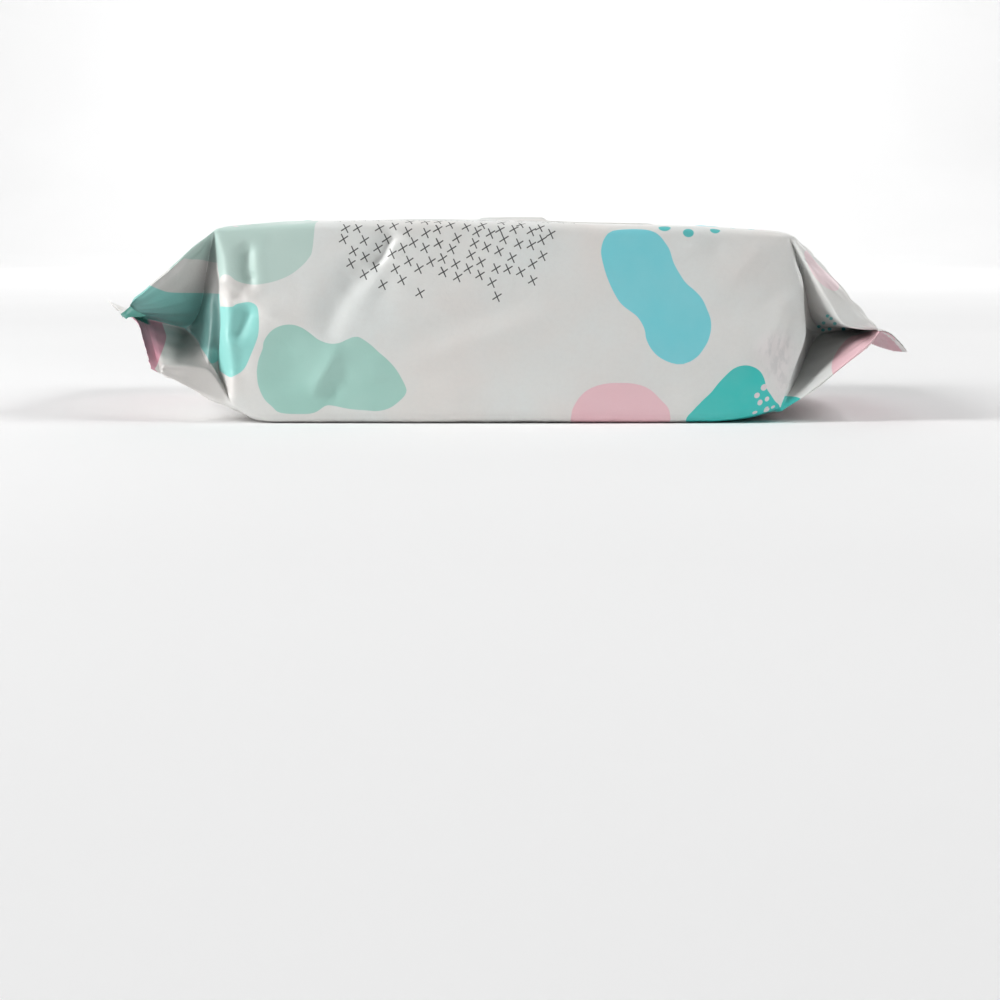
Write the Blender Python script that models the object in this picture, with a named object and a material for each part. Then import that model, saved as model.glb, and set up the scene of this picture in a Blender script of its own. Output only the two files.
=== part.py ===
"""Wet wipes pack: a flow-wrapped film pouch with gusseted, crimped ends and a reseal label on top.

The pouch is one closed solid, the film with the folded stack of wipes sealed inside it. It lies
flat, +X along its length, -Y towards the front long side, +Z up, and stands on Z = 0. Inside the
functions lengths are millimetres; they become metres when the mesh is made.
"""

import math

import bpy
import numpy as np

# Driving dimensions, millimetres.
WIDTH = 102.0           # front side to back side
HEIGHT = 52.2           # height of a long side between its two fold lines
SIDE_BULGE = 2.0        # how far a long side stands out at mid length
FLAP = 35.4             # film from the end of the body to the crimped seal
FIN = 9.6               # width of the crimped seal
FIN_THICK = 0.7         # thickness of the pressed layers
TOP_ROUND = 9.0         # softness of the upper long edges at mid length
BASE_ROUND = 6.0        # softness of the lower long edges at mid length
END_REACH = 20.0        # how far the shape of an end's corner reaches into the body
LEFT_BASE_REACH = 8.0   # the same along the bottom, where the left end turns up sharply

COLS_SIDE = 12          # mesh columns across a long side, twice the panels' quarter
COLS_PANEL = 24         # mesh columns across the top and the bottom panel
ROWS_BODY = 20          # mesh rows along the body
ROWS_FIN = 2            # mesh rows across a seal

LABEL_LENGTH = 80.0     # reseal label, along the pack
LABEL_WIDTH = 55.0
LABEL_TAB = 20.0        # width of its pull tab
LABEL_TAB_REACH = 9.0   # how far the tab stands out towards the front
LABEL_THICK = 0.4
LABEL_GAP = 0.3         # adhesive gap over the film
LABEL_X = 1.4           # centre along the pack, before CENTRE_X
LABEL_Y = 3.0

CENTRE_X = 1.2          # brings the middle between the two seals' tips to X = 0
HALF = HEIGHT / 2.0

# Fold lines of the ends. Each is a row of (film distance from the body's end, x, y, z).
# "ridge" is a long edge's fold, "pleat" the inner diagonal, "lip" the softer bend beside a ridge.
# y is given for the front and mirrored for the back.
LEFT_FRONT = {
    "edge": [(0.0, -74.3, -49.0, 4.4), (13.0, -79.6, -48.0, 16.2), (18.0, -78.6, -48.5, 22.3),
             (25.0, -78.1, -48.6, 29.0), (31.0, -78.3, -48.6, 34.7), (36.0, -77.8, -48.7, 39.2),
             (40.0, -78.4, -48.8, 42.5), (HEIGHT, -78.4, -49.0, 52.2)],
    "top_ridge": [(0.0, -78.4, -49.0, 52.2), (17.7, -90.5, -47.4, 42.2), (FLAP, -102.5, -45.6, 32.1)],
    "low_ridge": [(0.0, -74.3, -48.6, 3.9), (10.0, -80.6, -47.2, 6.2), (18.0, -86.4, -46.4, 9.1),
                  (26.0, -91.4, -46.2, 11.8), (FLAP, -94.6, -46.2, 13.5)],
    "low_lip": [(0.0, -74.3, -49.0, 4.2), (13.0, -82.5, -46.4, 14.6), (24.0, -89.2, -46.0, 15.3),
                (FLAP, -94.6, -45.2, 15.6)],
    "top_pleat": [(0.0, -78.4, -49.0, 52.0), (HALF, -91.1, -26.5, 25.2), (FLAP, -103.6, -25.5, 28.2)],
    "low_pleat": [(0.0, -74.3, -49.0, 4.4), (11.0, -80.8, -45.4, 16.2), (HALF, -91.1, -26.5, 24.2),
                  (FLAP, -102.0, -25.5, 27.2)],
    "seal_top": [(0.0, -102.5, -45.6, 32.1), (1.0, -103.6, -25.5, 28.6)],
    "seal_low": [(0.0, -94.6, -46.2, 13.5), (1.0, -102.0, -25.5, 26.8)],
    "tip_top": [(0.0, -104.3, -41.5, 28.6), (0.45, -108.5, -33.0, 30.4), (1.0, -112.6, -25.5, 32.2)],
    "tip_low": [(0.0, -97.4, -46.0, 15.0), (0.5, -101.3, -36.0, 22.6), (0.82, -104.2, -28.5, 26.8),
                (1.0, -111.4, -25.5, 31.2)],
}
RIGHT_FRONT = {
    "edge": [(0.0, 74.4, -49.0, 4.6), (12.0, 78.2, -48.2, 15.0), (22.0, 81.4, -47.2, 24.7),
             (30.0, 80.8, -47.2, 31.0), (38.0, 80.2, -47.4, 39.0), (43.0, 78.5, -48.0, 43.2),
             (HEIGHT, 75.2, -49.0, 50.8)],
    "top_ridge": [(0.0, 76.8, -49.0, 50.6), (9.5, 83.6, -48.6, 43.5), (19.5, 90.6, -48.3, 36.3),
                  (27.5, 95.8, -48.1, 30.4), (FLAP, 100.6, -48.0, 25.2)],
    "top_lip": [(0.0, 76.4, -49.0, 49.8), (10.0, 81.6, -46.6, 41.2), (20.0, 86.4, -43.5, 33.0),
                (28.5, 92.0, -39.5, 26.4), (FLAP, 100.4, -38.0, 25.0)],
    "low_ridge": [(0.0, 74.4, -48.6, 3.0), (5.0, 78.8, -48.6, 5.8), (13.0, 85.0, -48.3, 10.3),
                  (20.5, 90.9, -48.1, 15.2), (29.5, 98.0, -48.0, 21.4), (FLAP, 100.5, -47.9, 24.2)],
    "low_lip": [(0.0, 74.4, -48.9, 4.4), (8.0, 80.4, -46.4, 9.2), (19.5, 88.6, -44.2, 17.4),
                (29.0, 96.4, -42.6, 22.6), (FLAP, 100.3, -42.0, 24.0)],
    "top_pleat": [(0.0, 75.2, -49.0, 50.6), (HALF, 89.7, -27.0, 24.6), (FLAP, 101.2, -25.5, 25.2)],
    "low_pleat": [(0.0, 74.4, -49.0, 4.8), (HALF, 89.9, -27.0, 23.4), (FLAP, 101.2, -25.5, 24.4)],
    "seal_top": [(0.0, 100.6, -48.0, 25.2), (1.0, 101.4, -25.5, 25.4)],
    "seal_low": [(0.0, 100.5, -47.9, 24.2), (1.0, 101.4, -25.5, 24.0)],
    "tip_top": [(0.0, 108.6, -48.0, 19.5), (1.0, 110.2, -25.5, 18.3)],
    "tip_low": [(0.0, 108.2, -47.6, 18.7), (1.0, 109.9, -25.5, 17.5)],
}
LEFT_BACK = {
    "edge": [(0.0, -74.6, -49.0, 4.2), (14.0, -78.0, -48.6, 16.5), (26.0, -79.2, -48.2, 28.0),
             (40.0, -78.4, -48.7, 41.0), (HEIGHT, -77.4, -49.0, 51.6)],
    "top_ridge": [(0.0, -77.6, -49.0, 51.6), (12.0, -86.2, -48.5, 43.6), (24.0, -94.6, -48.0, 35.6),
                  (FLAP, -102.4, -47.5, 28.6)],
    "top_lip": [(0.0, -77.6, -48.9, 50.8), (12.0, -84.6, -46.2, 41.2), (24.0, -91.6, -43.0, 32.0),
                (FLAP, -102.2, -40.0, 28.2)],
    "low_ridge": [(0.0, -74.6, -48.6, 3.2), (10.0, -82.0, -48.2, 8.0), (20.0, -90.0, -47.8, 14.6),
                  (29.0, -97.4, -47.6, 22.2), (FLAP, -102.3, -47.4, 27.4)],
    "low_lip": [(0.0, -74.6, -48.9, 4.0), (10.0, -81.4, -46.6, 11.4), (20.0, -88.0, -44.6, 19.0),
                (29.0, -96.0, -43.0, 25.2), (FLAP, -102.0, -42.0, 27.2)],
    "top_pleat": [(0.0, -77.4, -49.0, 51.2), (HALF, -90.4, -26.6, 26.8), (FLAP, -103.4, -25.5, 28.2)],
    "low_pleat": [(0.0, -74.6, -49.0, 4.4), (HALF, -90.2, -26.6, 25.6), (FLAP, -102.4, -25.5, 27.4)],
    "seal_top": [(0.0, -102.4, -47.5, 28.6), (1.0, -103.6, -25.5, 28.6)],
    "seal_low": [(0.0, -102.3, -47.4, 27.4), (1.0, -102.6, -25.5, 27.0)],
    "tip_top": [(0.0, -111.2, -47.2, 25.6), (1.0, -113.0, -25.5, 27.2)],
    "tip_low": [(0.0, -110.9, -47.0, 24.6), (1.0, -112.8, -25.5, 26.2)],
}
RIGHT_BACK = {
    "edge": [(0.0, 74.2, -49.0, 4.2), (12.0, 77.6, -48.5, 14.4), (26.0, 79.6, -47.9, 27.0),
             (40.0, 78.4, -48.4, 40.0), (HEIGHT, 75.6, -49.0, 51.0)],
    "top_ridge": [(0.0, 76.6, -49.0, 51.0), (12.0, 85.0, -48.4, 42.4), (24.0, 93.2, -47.8, 33.8),
                  (FLAP, 100.4, -47.0, 27.8)],
    "top_lip": [(0.0, 76.2, -48.9, 50.4), (12.0, 83.4, -46.4, 40.2), (24.0, 89.6, -42.6, 31.0),
                (FLAP, 100.2, -40.0, 26.8)],
    "low_ridge": [(0.0, 74.2, -48.6, 3.2), (10.0, 81.6, -48.0, 7.8), (20.0, 89.2, -47.4, 13.6),
                  (29.0, 96.0, -46.9, 19.4), (FLAP, 100.0, -46.6, 23.0)],
    "low_lip": [(0.0, 74.2, -48.9, 4.2), (10.0, 80.6, -46.4, 10.6), (20.0, 86.8, -44.0, 17.0),
                (29.0, 94.4, -42.0, 21.6), (FLAP, 99.9, -41.0, 23.4)],
    "top_pleat": [(0.0, 75.6, -49.0, 50.8), (HALF, 89.6, -26.8, 25.6), (FLAP, 101.2, -25.5, 25.3)],
    "low_pleat": [(0.0, 74.2, -49.0, 4.4), (HALF, 89.4, -26.8, 24.4), (FLAP, 101.0, -25.5, 24.5)],
    "seal_top": [(0.0, 100.4, -47.0, 27.8), (1.0, 101.4, -25.5, 25.5)],
    "seal_low": [(0.0, 100.0, -46.6, 23.0), (1.0, 101.4, -25.5, 24.1)],
    "tip_top": [(0.0, 108.8, -46.0, 24.6), (1.0, 110.4, -25.5, 19.4)],
    "tip_low": [(0.0, 107.4, -46.0, 16.4), (1.0, 110.0, -25.5, 18.4)],
}
# Middle of each end: the top panel's and the bottom panel's centre lines, then the seal's tip.
LEFT_MIDDLE = {
    "top": [(0.0, -78.6, 0.0, 54.8), (7.0, -85.2, 0.0, 50.4), (18.0, -93.2, 0.0, 41.6),
            (28.0, -99.8, 0.0, 33.6), (FLAP, -104.8, 0.0, 28.2)],
    "low": [(0.0, -72.5, 0.0, 0.0), (8.0, -80.0, 0.0, 4.2), (18.0, -88.8, 0.0, 10.6),
            (28.0, -97.6, 0.0, 20.4), (FLAP, -104.4, 0.0, 27.4)],
    "tip": (-114.2, 0.0, 28.4),
}
RIGHT_MIDDLE = {
    "top": [(0.0, 77.4, 0.0, 53.2), (7.0, 83.8, 0.0, 49.2), (18.0, 91.6, 0.0, 39.6),
            (28.0, 98.0, 0.0, 31.2), (FLAP, 102.8, 0.0, 25.2)],
    "low": [(0.0, 72.0, 0.0, 0.0), (8.0, 79.4, 0.0, 3.8), (18.0, 88.0, 0.0, 9.8),
            (28.0, 96.4, 0.0, 18.0), (FLAP, 102.6, 0.0, 24.4)],
    "tip": (111.8, 0.0, 17.4),
}


# Height of the top panel along the body, over its middle and over its long edges.
CROWN = [(-80.0, 54.7), (-55.0, 54.9), (-20.0, 55.0), (15.0, 55.0), (43.0, 54.2), (60.0, 53.6), (80.0, 53.0)]
SHOULDER = [(-80.0, 52.2), (-30.0, 52.6), (15.0, 52.4), (50.0, 51.4), (80.0, 50.6)]


def along(line, at):
    """Points of a polyline whose rows start with their own parameter."""
    table = np.array(line, float)
    at = np.asarray(at, float)
    return np.stack([np.interp(at, table[:, 0], table[:, k]) for k in (1, 2, 3)], axis=-1)


def height(table, x):
    table = np.array(table)
    return np.interp(x, table[:, 0], table[:, 1])


def side_row(keys, u, side):
    """One long side's film, from the lower edge up, at film distance u past the body's end.

    Past the end the side is folded in as a gusset: an inner triangle between the two pleats, and
    a layer on each side of it that runs out to the ridge.
    """
    if u <= 0.0:
        return along(keys["edge"], side)
    low_at, top_at = min(u, HALF - 0.8), max(HEIGHT - u, HALF + 0.8)
    at = [0.0, low_at, top_at, HEIGHT]
    points = [along(keys[name], u) for name in ("low_ridge", "low_pleat", "top_pleat", "top_ridge")]
    if "low_lip" in keys:
        at.insert(1, low_at * 0.34)
        points.insert(1, along(keys["low_lip"], u))
    if "top_lip" in keys:
        at.insert(-1, HEIGHT - (HEIGHT - top_at) * 0.34)
        points.insert(-1, along(keys["top_lip"], u))
    points = np.array(points)
    row = np.stack([np.interp(side, at, points[:, k]) for k in range(3)], axis=-1)
    # The inner triangle keeps the bends of the body's end line, fading towards its point.
    ends = [keys["edge"][0][1:], keys["edge"][-1][1:]]
    chord = np.stack([np.interp(side, [0.0, HEIGHT], [ends[0][k], ends[1][k]]) for k in range(3)], axis=-1)
    fade = max(0.0, 1.0 - u / HALF) * 0.7
    inside = (side > low_at) & (side < top_at)
    row[inside] += (along(keys["edge"], side) - chord)[inside] * fade
    return row


def panel_row(corner, middle, panel, power):
    """Half of the top or bottom panel, from its long edge (corner) to the middle of the pack."""
    t = panel[:, None]
    row = corner * (1.0 - t) + middle * t
    lift = (middle - corner) * ((1.0 - (1.0 - t) ** power) - t)
    lift[:, 1] = 0.0
    return row + lift


def half_ring(keys, middle, u):
    """Front half of the girth: bottom middle, lower edge, upper edge, top middle."""
    panel = np.linspace(0.0, 1.0, COLS_PANEL // 2 + 1)
    side = side_row(keys, u, np.linspace(0.0, HEIGHT, COLS_SIDE + 1))
    reach = max(0.0, 1.0 - u / FLAP)
    top = panel_row(side[-1], along(middle["top"], u), panel, 1.0 + reach)
    low = panel_row(side[0], along(middle["low"], u), panel, 1.0 + 2.4 * reach)
    return np.concatenate([low[::-1], side[1:], top[1:]])


def fin_half(keys, middle, f):
    """Front half of the pressed seal, at fraction f of its width.

    Towards the corner the seal is two folded pairs of layers, one over the other. Past the
    gusset's point it is one.
    """
    quarter = COLS_PANEL // 4
    run = np.linspace(0.0, 1.0, quarter + 1)
    thick = np.array([0.0, 0.0, FIN_THICK])
    upper = along(keys["seal_top"], run) * (1.0 - f) + along(keys["tip_top"], run) * f
    lower = along(keys["seal_low"], run) * (1.0 - f) + along(keys["tip_low"], run) * f
    centre = along(middle["top"], FLAP) * (1.0 - f) + np.array(middle["tip"]) * f
    inner = np.linspace(0.0, 1.0, quarter + 1)[1:, None]
    bow = np.sin(inner * math.pi / 2.0)
    blend = np.concatenate([bow, inner, bow], axis=1)
    top = np.concatenate([upper, upper[-1] * (1.0 - blend) + centre * blend])
    under = lower - thick
    low = np.concatenate([under, under[-1] * (1.0 - blend) + (centre - thick) * blend])
    gusset = np.concatenate([lower, (upper - thick)[::-1][1:]])
    return np.concatenate([low[::-1], gusset[1:], top[1:]])


def ring(front_half, back_half):
    """Closes two halves: round the front, over the top, down the back and under."""
    back = back_half * np.array([1.0, -1.0, 1.0])
    return np.concatenate([front_half, back[::-1][1:-1]])


def section(w, xs):
    """The girth at fraction w along the body, with the columns at xs."""
    quarter = COLS_PANEL // 2
    swell = math.sin(math.pi * min(max(w, 0.0), 1.0)) ** 0.7
    half_width = WIDTH / 2.0 - SIDE_BULGE * (1.0 - swell)
    top_soft = 1.4 + (TOP_ROUND - 1.4) * swell ** 0.6
    base_soft = 1.4 + (BASE_ROUND - 1.4) * swell ** 0.6
    panel = np.linspace(0.0, 1.0, quarter + 1)
    side = np.linspace(0.0, 1.0, COLS_SIDE + 1)

    def corner_shift(distance, soft):
        return np.maximum(0.0, soft - distance) ** 2 / (4.0 * soft)

    def half():
        out = []
        for t in panel[::-1]:
            y = half_width * (1.0 - t)
            k = corner_shift(half_width - y, base_soft)
            out.append((-(y - k), k))
        for t in side[1:-1]:
            low, up = t * HEIGHT, (1.0 - t) * HEIGHT
            k, m = corner_shift(low, base_soft), corner_shift(up, top_soft)
            out.append((-(half_width - k - m), t * HEIGHT + k - m))
        for t in panel:
            y = half_width * (1.0 - t)
            m = corner_shift(half_width - y, top_soft)
            out.append((-(y - m), HEIGHT - m))
        return out

    front = half()
    yz = np.array(front + [(-y, z) for y, z in front[::-1][1:-1]])
    crown, shoulder = height(CROWN, xs), height(SHOULDER, xs)
    arch = crown - (crown - shoulder) * (yz[:, 0] / half_width) ** 2
    z = yz[:, 1] * (arch / HEIGHT)
    return np.stack([xs, yz[:, 0], z], axis=-1)


def end_rows(front, back, middle):
    """Rows from just past the body's end to the seal's cut edge."""
    past = list(np.linspace(0.0, HALF, COLS_SIDE // 2 + 1)[1:]) + [HALF + (FLAP - HALF) * 0.5]
    rows = [ring(half_ring(front, middle, u), half_ring(back, middle, u)) for u in past]
    for f in np.linspace(0.0, 1.0, ROWS_FIN + 1):
        rows.append(ring(fin_half(front, middle, f), fin_half(back, middle, f)))
    return rows


def body_rows(left_end, right_end):
    rows = []
    length = 155.0
    for w in np.linspace(0.0, 1.0, ROWS_BODY + 1):
        xs = left_end[:, 0] * (1.0 - w) + right_end[:, 0] * w
        row = section(w, xs)
        for end, at, base in ((left_end, 0.0, LEFT_BASE_REACH), (right_end, 1.0, END_REACH)):
            reach = base + (END_REACH - base) * np.clip(end[:, 2:] / 15.0, 0.0, 1.0)
            pull = np.maximum(0.0, 1.0 - abs(w - at) * length / reach) ** 2
            row = row + (end - section(at, end[:, 0])) * pull
        rows.append(row)
    return rows


def cap_faces(start, flip):
    """Closes a seal's cut edge. start is the index of the row's first vertex."""
    quarter, half, side = COLS_PANEL // 4, COLS_PANEL // 2, COLS_SIDE
    count = 2 * (COLS_PANEL + COLS_SIDE)
    faces = []

    def at(index):
        return start + index % count

    def half_cap(order):
        low_edge, top_edge = half, half + side          # ring indices of the two ridges
        low_pleat = low_edge + side // 2                # innermost vertex of the gusset
        faces.append([order(low_edge), order(low_edge - 1), order(low_edge + 1)])
        faces.append([order(top_edge), order(top_edge - 1), order(top_edge + 1)])
        for i in range(1, quarter):                     # lower pair and upper pair of layers
            faces.append([order(low_edge - i), order(low_edge - i - 1), order(low_edge + i + 1), order(low_edge + i)])
            faces.append([order(top_edge + i), order(top_edge - i), order(top_edge - i - 1), order(top_edge + i + 1)])
        faces.append([order(low_edge - quarter), order(top_edge + quarter), order(low_pleat)])
        for i in range(quarter):                        # middle, one pair of layers
            faces.append([order(low_edge - quarter - i), order(low_edge - quarter - i - 1), order(top_edge + quarter + i + 1), order(top_edge + quarter + i)])

    half_cap(lambda index: at(index))
    first = len(faces)
    half_cap(lambda index: at(count - index))
    faces[first:] = [face[::-1] for face in faces[first:]]
    return [face[::-1] for face in faces] if flip else faces


def pouch_mesh():
    left = end_rows(LEFT_FRONT, LEFT_BACK, LEFT_MIDDLE)
    right = end_rows(RIGHT_FRONT, RIGHT_BACK, RIGHT_MIDDLE)
    left_end = ring(half_ring(LEFT_FRONT, LEFT_MIDDLE, 0.0), half_ring(LEFT_BACK, LEFT_MIDDLE, 0.0))
    right_end = ring(half_ring(RIGHT_FRONT, RIGHT_MIDDLE, 0.0), half_ring(RIGHT_BACK, RIGHT_MIDDLE, 0.0))
    rows = left[::-1] + body_rows(left_end, right_end) + right
    count = len(rows[0])
    points = np.concatenate(rows)
    points[:, 2] = np.maximum(points[:, 2], 0.0)
    faces = []
    for r in range(len(rows) - 1):
        for c in range(count):
            d = (c + 1) % count
            faces.append([r * count + c, (r + 1) * count + c, (r + 1) * count + d, r * count + d])
    faces += cap_faces(0, flip=True)
    faces += cap_faces((len(rows) - 1) * count, flip=False)
    return points, faces


def top_height(x, y):
    """Height of the top panel in the stretch that carries the label."""
    crown, shoulder = height(CROWN, x), height(SHOULDER, x)
    return crown - (crown - shoulder) * (y / (WIDTH / 2.0)) ** 2


def label_mesh():
    """The reseal label: a thin sheet bowed over the top panel, with round corners and a pull tab."""
    soft = 6.0
    along_x = np.concatenate([
        np.linspace(-LABEL_LENGTH / 2, -LABEL_LENGTH / 2 + soft, 5)[:-1],
        np.linspace(-LABEL_LENGTH / 2 + soft, -LABEL_TAB / 2 - 2.0, 6)[:-1],
        np.linspace(-LABEL_TAB / 2 - 2.0, -LABEL_TAB / 2 + 3.0, 6)[:-1],
        np.linspace(-LABEL_TAB / 2 + 3.0, LABEL_TAB / 2 - 3.0, 4)[:-1],
        np.linspace(LABEL_TAB / 2 - 3.0, LABEL_TAB / 2 + 2.0, 6)[:-1],
        np.linspace(LABEL_TAB / 2 + 2.0, LABEL_LENGTH / 2 - soft, 6)[:-1],
        np.linspace(LABEL_LENGTH / 2 - soft, LABEL_LENGTH / 2, 5),
    ])
    across = np.linspace(0.0, 1.0, 9)
    points = []
    for level in (0, 1):
        for x in along_x:
            over = max(0.0, abs(x) - (LABEL_LENGTH / 2 - soft))
            half = LABEL_WIDTH / 2 - soft + math.sqrt(max(0.0, soft * soft - over * over))
            rise = min(1.0, max(0.0, (LABEL_TAB / 2 + 1.0 - abs(x)) / 3.0))
            tab = LABEL_TAB_REACH * rise * rise * (3.0 - 2.0 * rise)
            for t in across:
                y = LABEL_Y - half - tab + (2 * half + tab) * t
                z = top_height(x + LABEL_X, y) + LABEL_GAP + level * LABEL_THICK
                points.append((x + LABEL_X, y, z))
    rows, cols = len(along_x), len(across)
    layer = rows * cols
    faces = []
    for r in range(rows - 1):
        for c in range(cols - 1):
            a, b = r * cols + c, (r + 1) * cols + c
            faces.append([a, a + 1, b + 1, b])
            faces.append([layer + a, layer + b, layer + b + 1, layer + a + 1])
    rim = [r * cols for r in range(rows)] + [(rows - 1) * cols + c for c in range(1, cols)]
    rim += [r * cols + cols - 1 for r in range(rows - 2, -1, -1)] + list(range(cols - 2, 0, -1))
    for i, a in enumerate(rim):
        b = rim[(i + 1) % len(rim)]
        faces.append([a, b, layer + b, layer + a])
    return np.array(points), faces


def material(name, colour, roughness):
    made = bpy.data.materials.new(name)
    made.use_nodes = True
    shader = made.node_tree.nodes["Principled BSDF"]
    shader.inputs["Base Color"].default_value = (*colour, 1.0)
    shader.inputs["Roughness"].default_value = roughness
    shader.inputs["Metallic"].default_value = 0.0
    return made


def add_object(name, points, faces, finish, sharp):
    mesh = bpy.data.meshes.new(name)
    moved = (np.asarray(points) + np.array([CENTRE_X, 0.0, 0.0])) * 0.001
    mesh.from_pydata(moved.tolist(), [], faces)
    mesh.validate()
    mesh.update()
    mesh.shade_smooth()
    mesh.set_sharp_from_angle(angle=math.radians(sharp))
    mesh.materials.append(finish)
    made = bpy.data.objects.new(name, mesh)
    bpy.context.scene.collection.objects.link(made)
    return made


def main():
    for old in list(bpy.data.objects):
        bpy.data.objects.remove(old, do_unlink=True)
    bpy.context.scene.unit_settings.system = "METRIC"
    points, faces = pouch_mesh()
    add_object("wipes_pouch", points, faces, material("printed_film", (0.72, 0.75, 0.73), 0.42), 40.0)
    points, faces = label_mesh()
    add_object("reseal_label", points, faces, material("label_film", (0.80, 0.80, 0.78), 0.35), 50.0)


main()
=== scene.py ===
"""Looks of the wet wipes pack: printed flow-wrap film with gusseted, crimped ends, and the reseal label."""
import math

import bpy
import numpy as np
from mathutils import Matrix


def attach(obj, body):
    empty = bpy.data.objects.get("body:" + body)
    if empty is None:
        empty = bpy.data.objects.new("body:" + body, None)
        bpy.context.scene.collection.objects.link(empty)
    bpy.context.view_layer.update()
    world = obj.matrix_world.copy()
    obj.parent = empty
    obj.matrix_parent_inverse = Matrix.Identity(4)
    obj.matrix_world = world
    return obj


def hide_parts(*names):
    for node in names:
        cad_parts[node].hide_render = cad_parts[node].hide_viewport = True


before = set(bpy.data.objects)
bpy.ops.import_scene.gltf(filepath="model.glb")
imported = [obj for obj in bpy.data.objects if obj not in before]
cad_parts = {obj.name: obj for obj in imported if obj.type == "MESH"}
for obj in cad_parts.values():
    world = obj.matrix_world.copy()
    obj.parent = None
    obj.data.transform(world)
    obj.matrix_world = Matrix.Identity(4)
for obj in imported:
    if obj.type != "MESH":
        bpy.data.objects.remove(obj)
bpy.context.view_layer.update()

MM = 0.001
WIDTH, HEIGHT, SIDE_BULGE = 102.0, 52.2, 2.0
FLAP, FIN = 35.4, 9.6
TOP_ROUND, BASE_ROUND, END_REACH, LEFT_BASE_REACH = 2.4, 4.0, 20.0, 8.0
CENTRE_X = 1.2
HALF = HEIGHT / 2.0
LAYER = 0.26            # one folded pair of film layers in a seal
LABEL_LENGTH, LABEL_WIDTH, LABEL_TAB, LABEL_TAB_REACH = 80.0, 55.0, 24.0, 9.0
LABEL_THICK, LABEL_GAP, LABEL_X, LABEL_Y = 0.18, -0.02, 1.4, 3.0
PANEL = WIDTH / 2.0     # film from a long edge to the middle of the top or bottom panel

# ------------------------------------------------------------------------------------------------
# Fold lines of the ends, in millimetres: film distance past the body's end, then x, y, z.
# ------------------------------------------------------------------------------------------------
LEFT_FRONT = {
    "edge": [(0.0, -74.3, -49.0, 4.4), (13.0, -79.6, -48.0, 16.2), (18.0, -78.6, -48.5, 22.3),
             (25.0, -78.1, -48.6, 29.0), (31.0, -78.3, -48.6, 34.7), (36.0, -77.8, -48.7, 39.2),
             (40.0, -78.4, -48.8, 42.5), (HEIGHT, -78.4, -49.0, 52.2)],
    "top_ridge": [(0.0, -78.4, -49.0, 52.2), (17.7, -90.5, -47.4, 42.2), (FLAP, -102.5, -45.6, 32.1)],
    "low_ridge": [(0.0, -74.3, -48.6, 3.9), (10.0, -80.6, -47.2, 6.2), (18.0, -86.4, -46.4, 9.1),
                  (26.0, -91.4, -46.2, 11.8), (FLAP, -94.6, -46.2, 13.5)],
    "low_lip": [(0.0, -74.3, -49.0, 4.2), (13.0, -82.5, -46.4, 14.6), (24.0, -89.2, -46.0, 15.3),
                (FLAP, -94.6, -45.2, 15.6)],
    "top_pleat": [(0.0, -78.4, -49.0, 52.0), (HALF, -91.1, -26.5, 25.2), (FLAP, -103.6, -25.5, 28.2)],
    "low_pleat": [(0.0, -74.3, -49.0, 4.4), (11.0, -80.8, -45.4, 16.2), (HALF, -91.1, -26.5, 24.2),
                  (FLAP, -102.0, -25.5, 27.2)],
    "seal_top": [(0.0, -102.5, -45.6, 32.1), (1.0, -103.6, -25.5, 28.6)],
    "seal_low": [(0.0, -94.6, -46.2, 13.5), (1.0, -102.0, -25.5, 26.8)],
    "bend_top": [(0.0, -100.6, -46.2, 30.6), (0.14, -103.8, -44.6, 30.2), (0.45, -106.0, -35.0, 29.9), (1.0, -107.6, -25.5, 30.0)],
    "bend_low": [(0.0, -95.9, -46.2, 14.2), (0.5, -100.2, -36.0, 21.2), (0.82, -103.2, -28.8, 25.8), (1.0, -107.0, -25.5, 29.0)],
    "tip_top": [(0.0, -97.4, -46.8, 29.3), (0.14, -103.6, -44.2, 28.2), (0.45, -108.5, -33.0, 30.4), (1.0, -113.0, -25.5, 32.5)],
    "tip_low": [(0.0, -97.4, -46.0, 15.0), (0.5, -101.3, -36.0, 22.6), (0.82, -104.2, -28.5, 26.8),
                (1.0, -111.8, -25.5, 31.8)],
}
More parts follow.
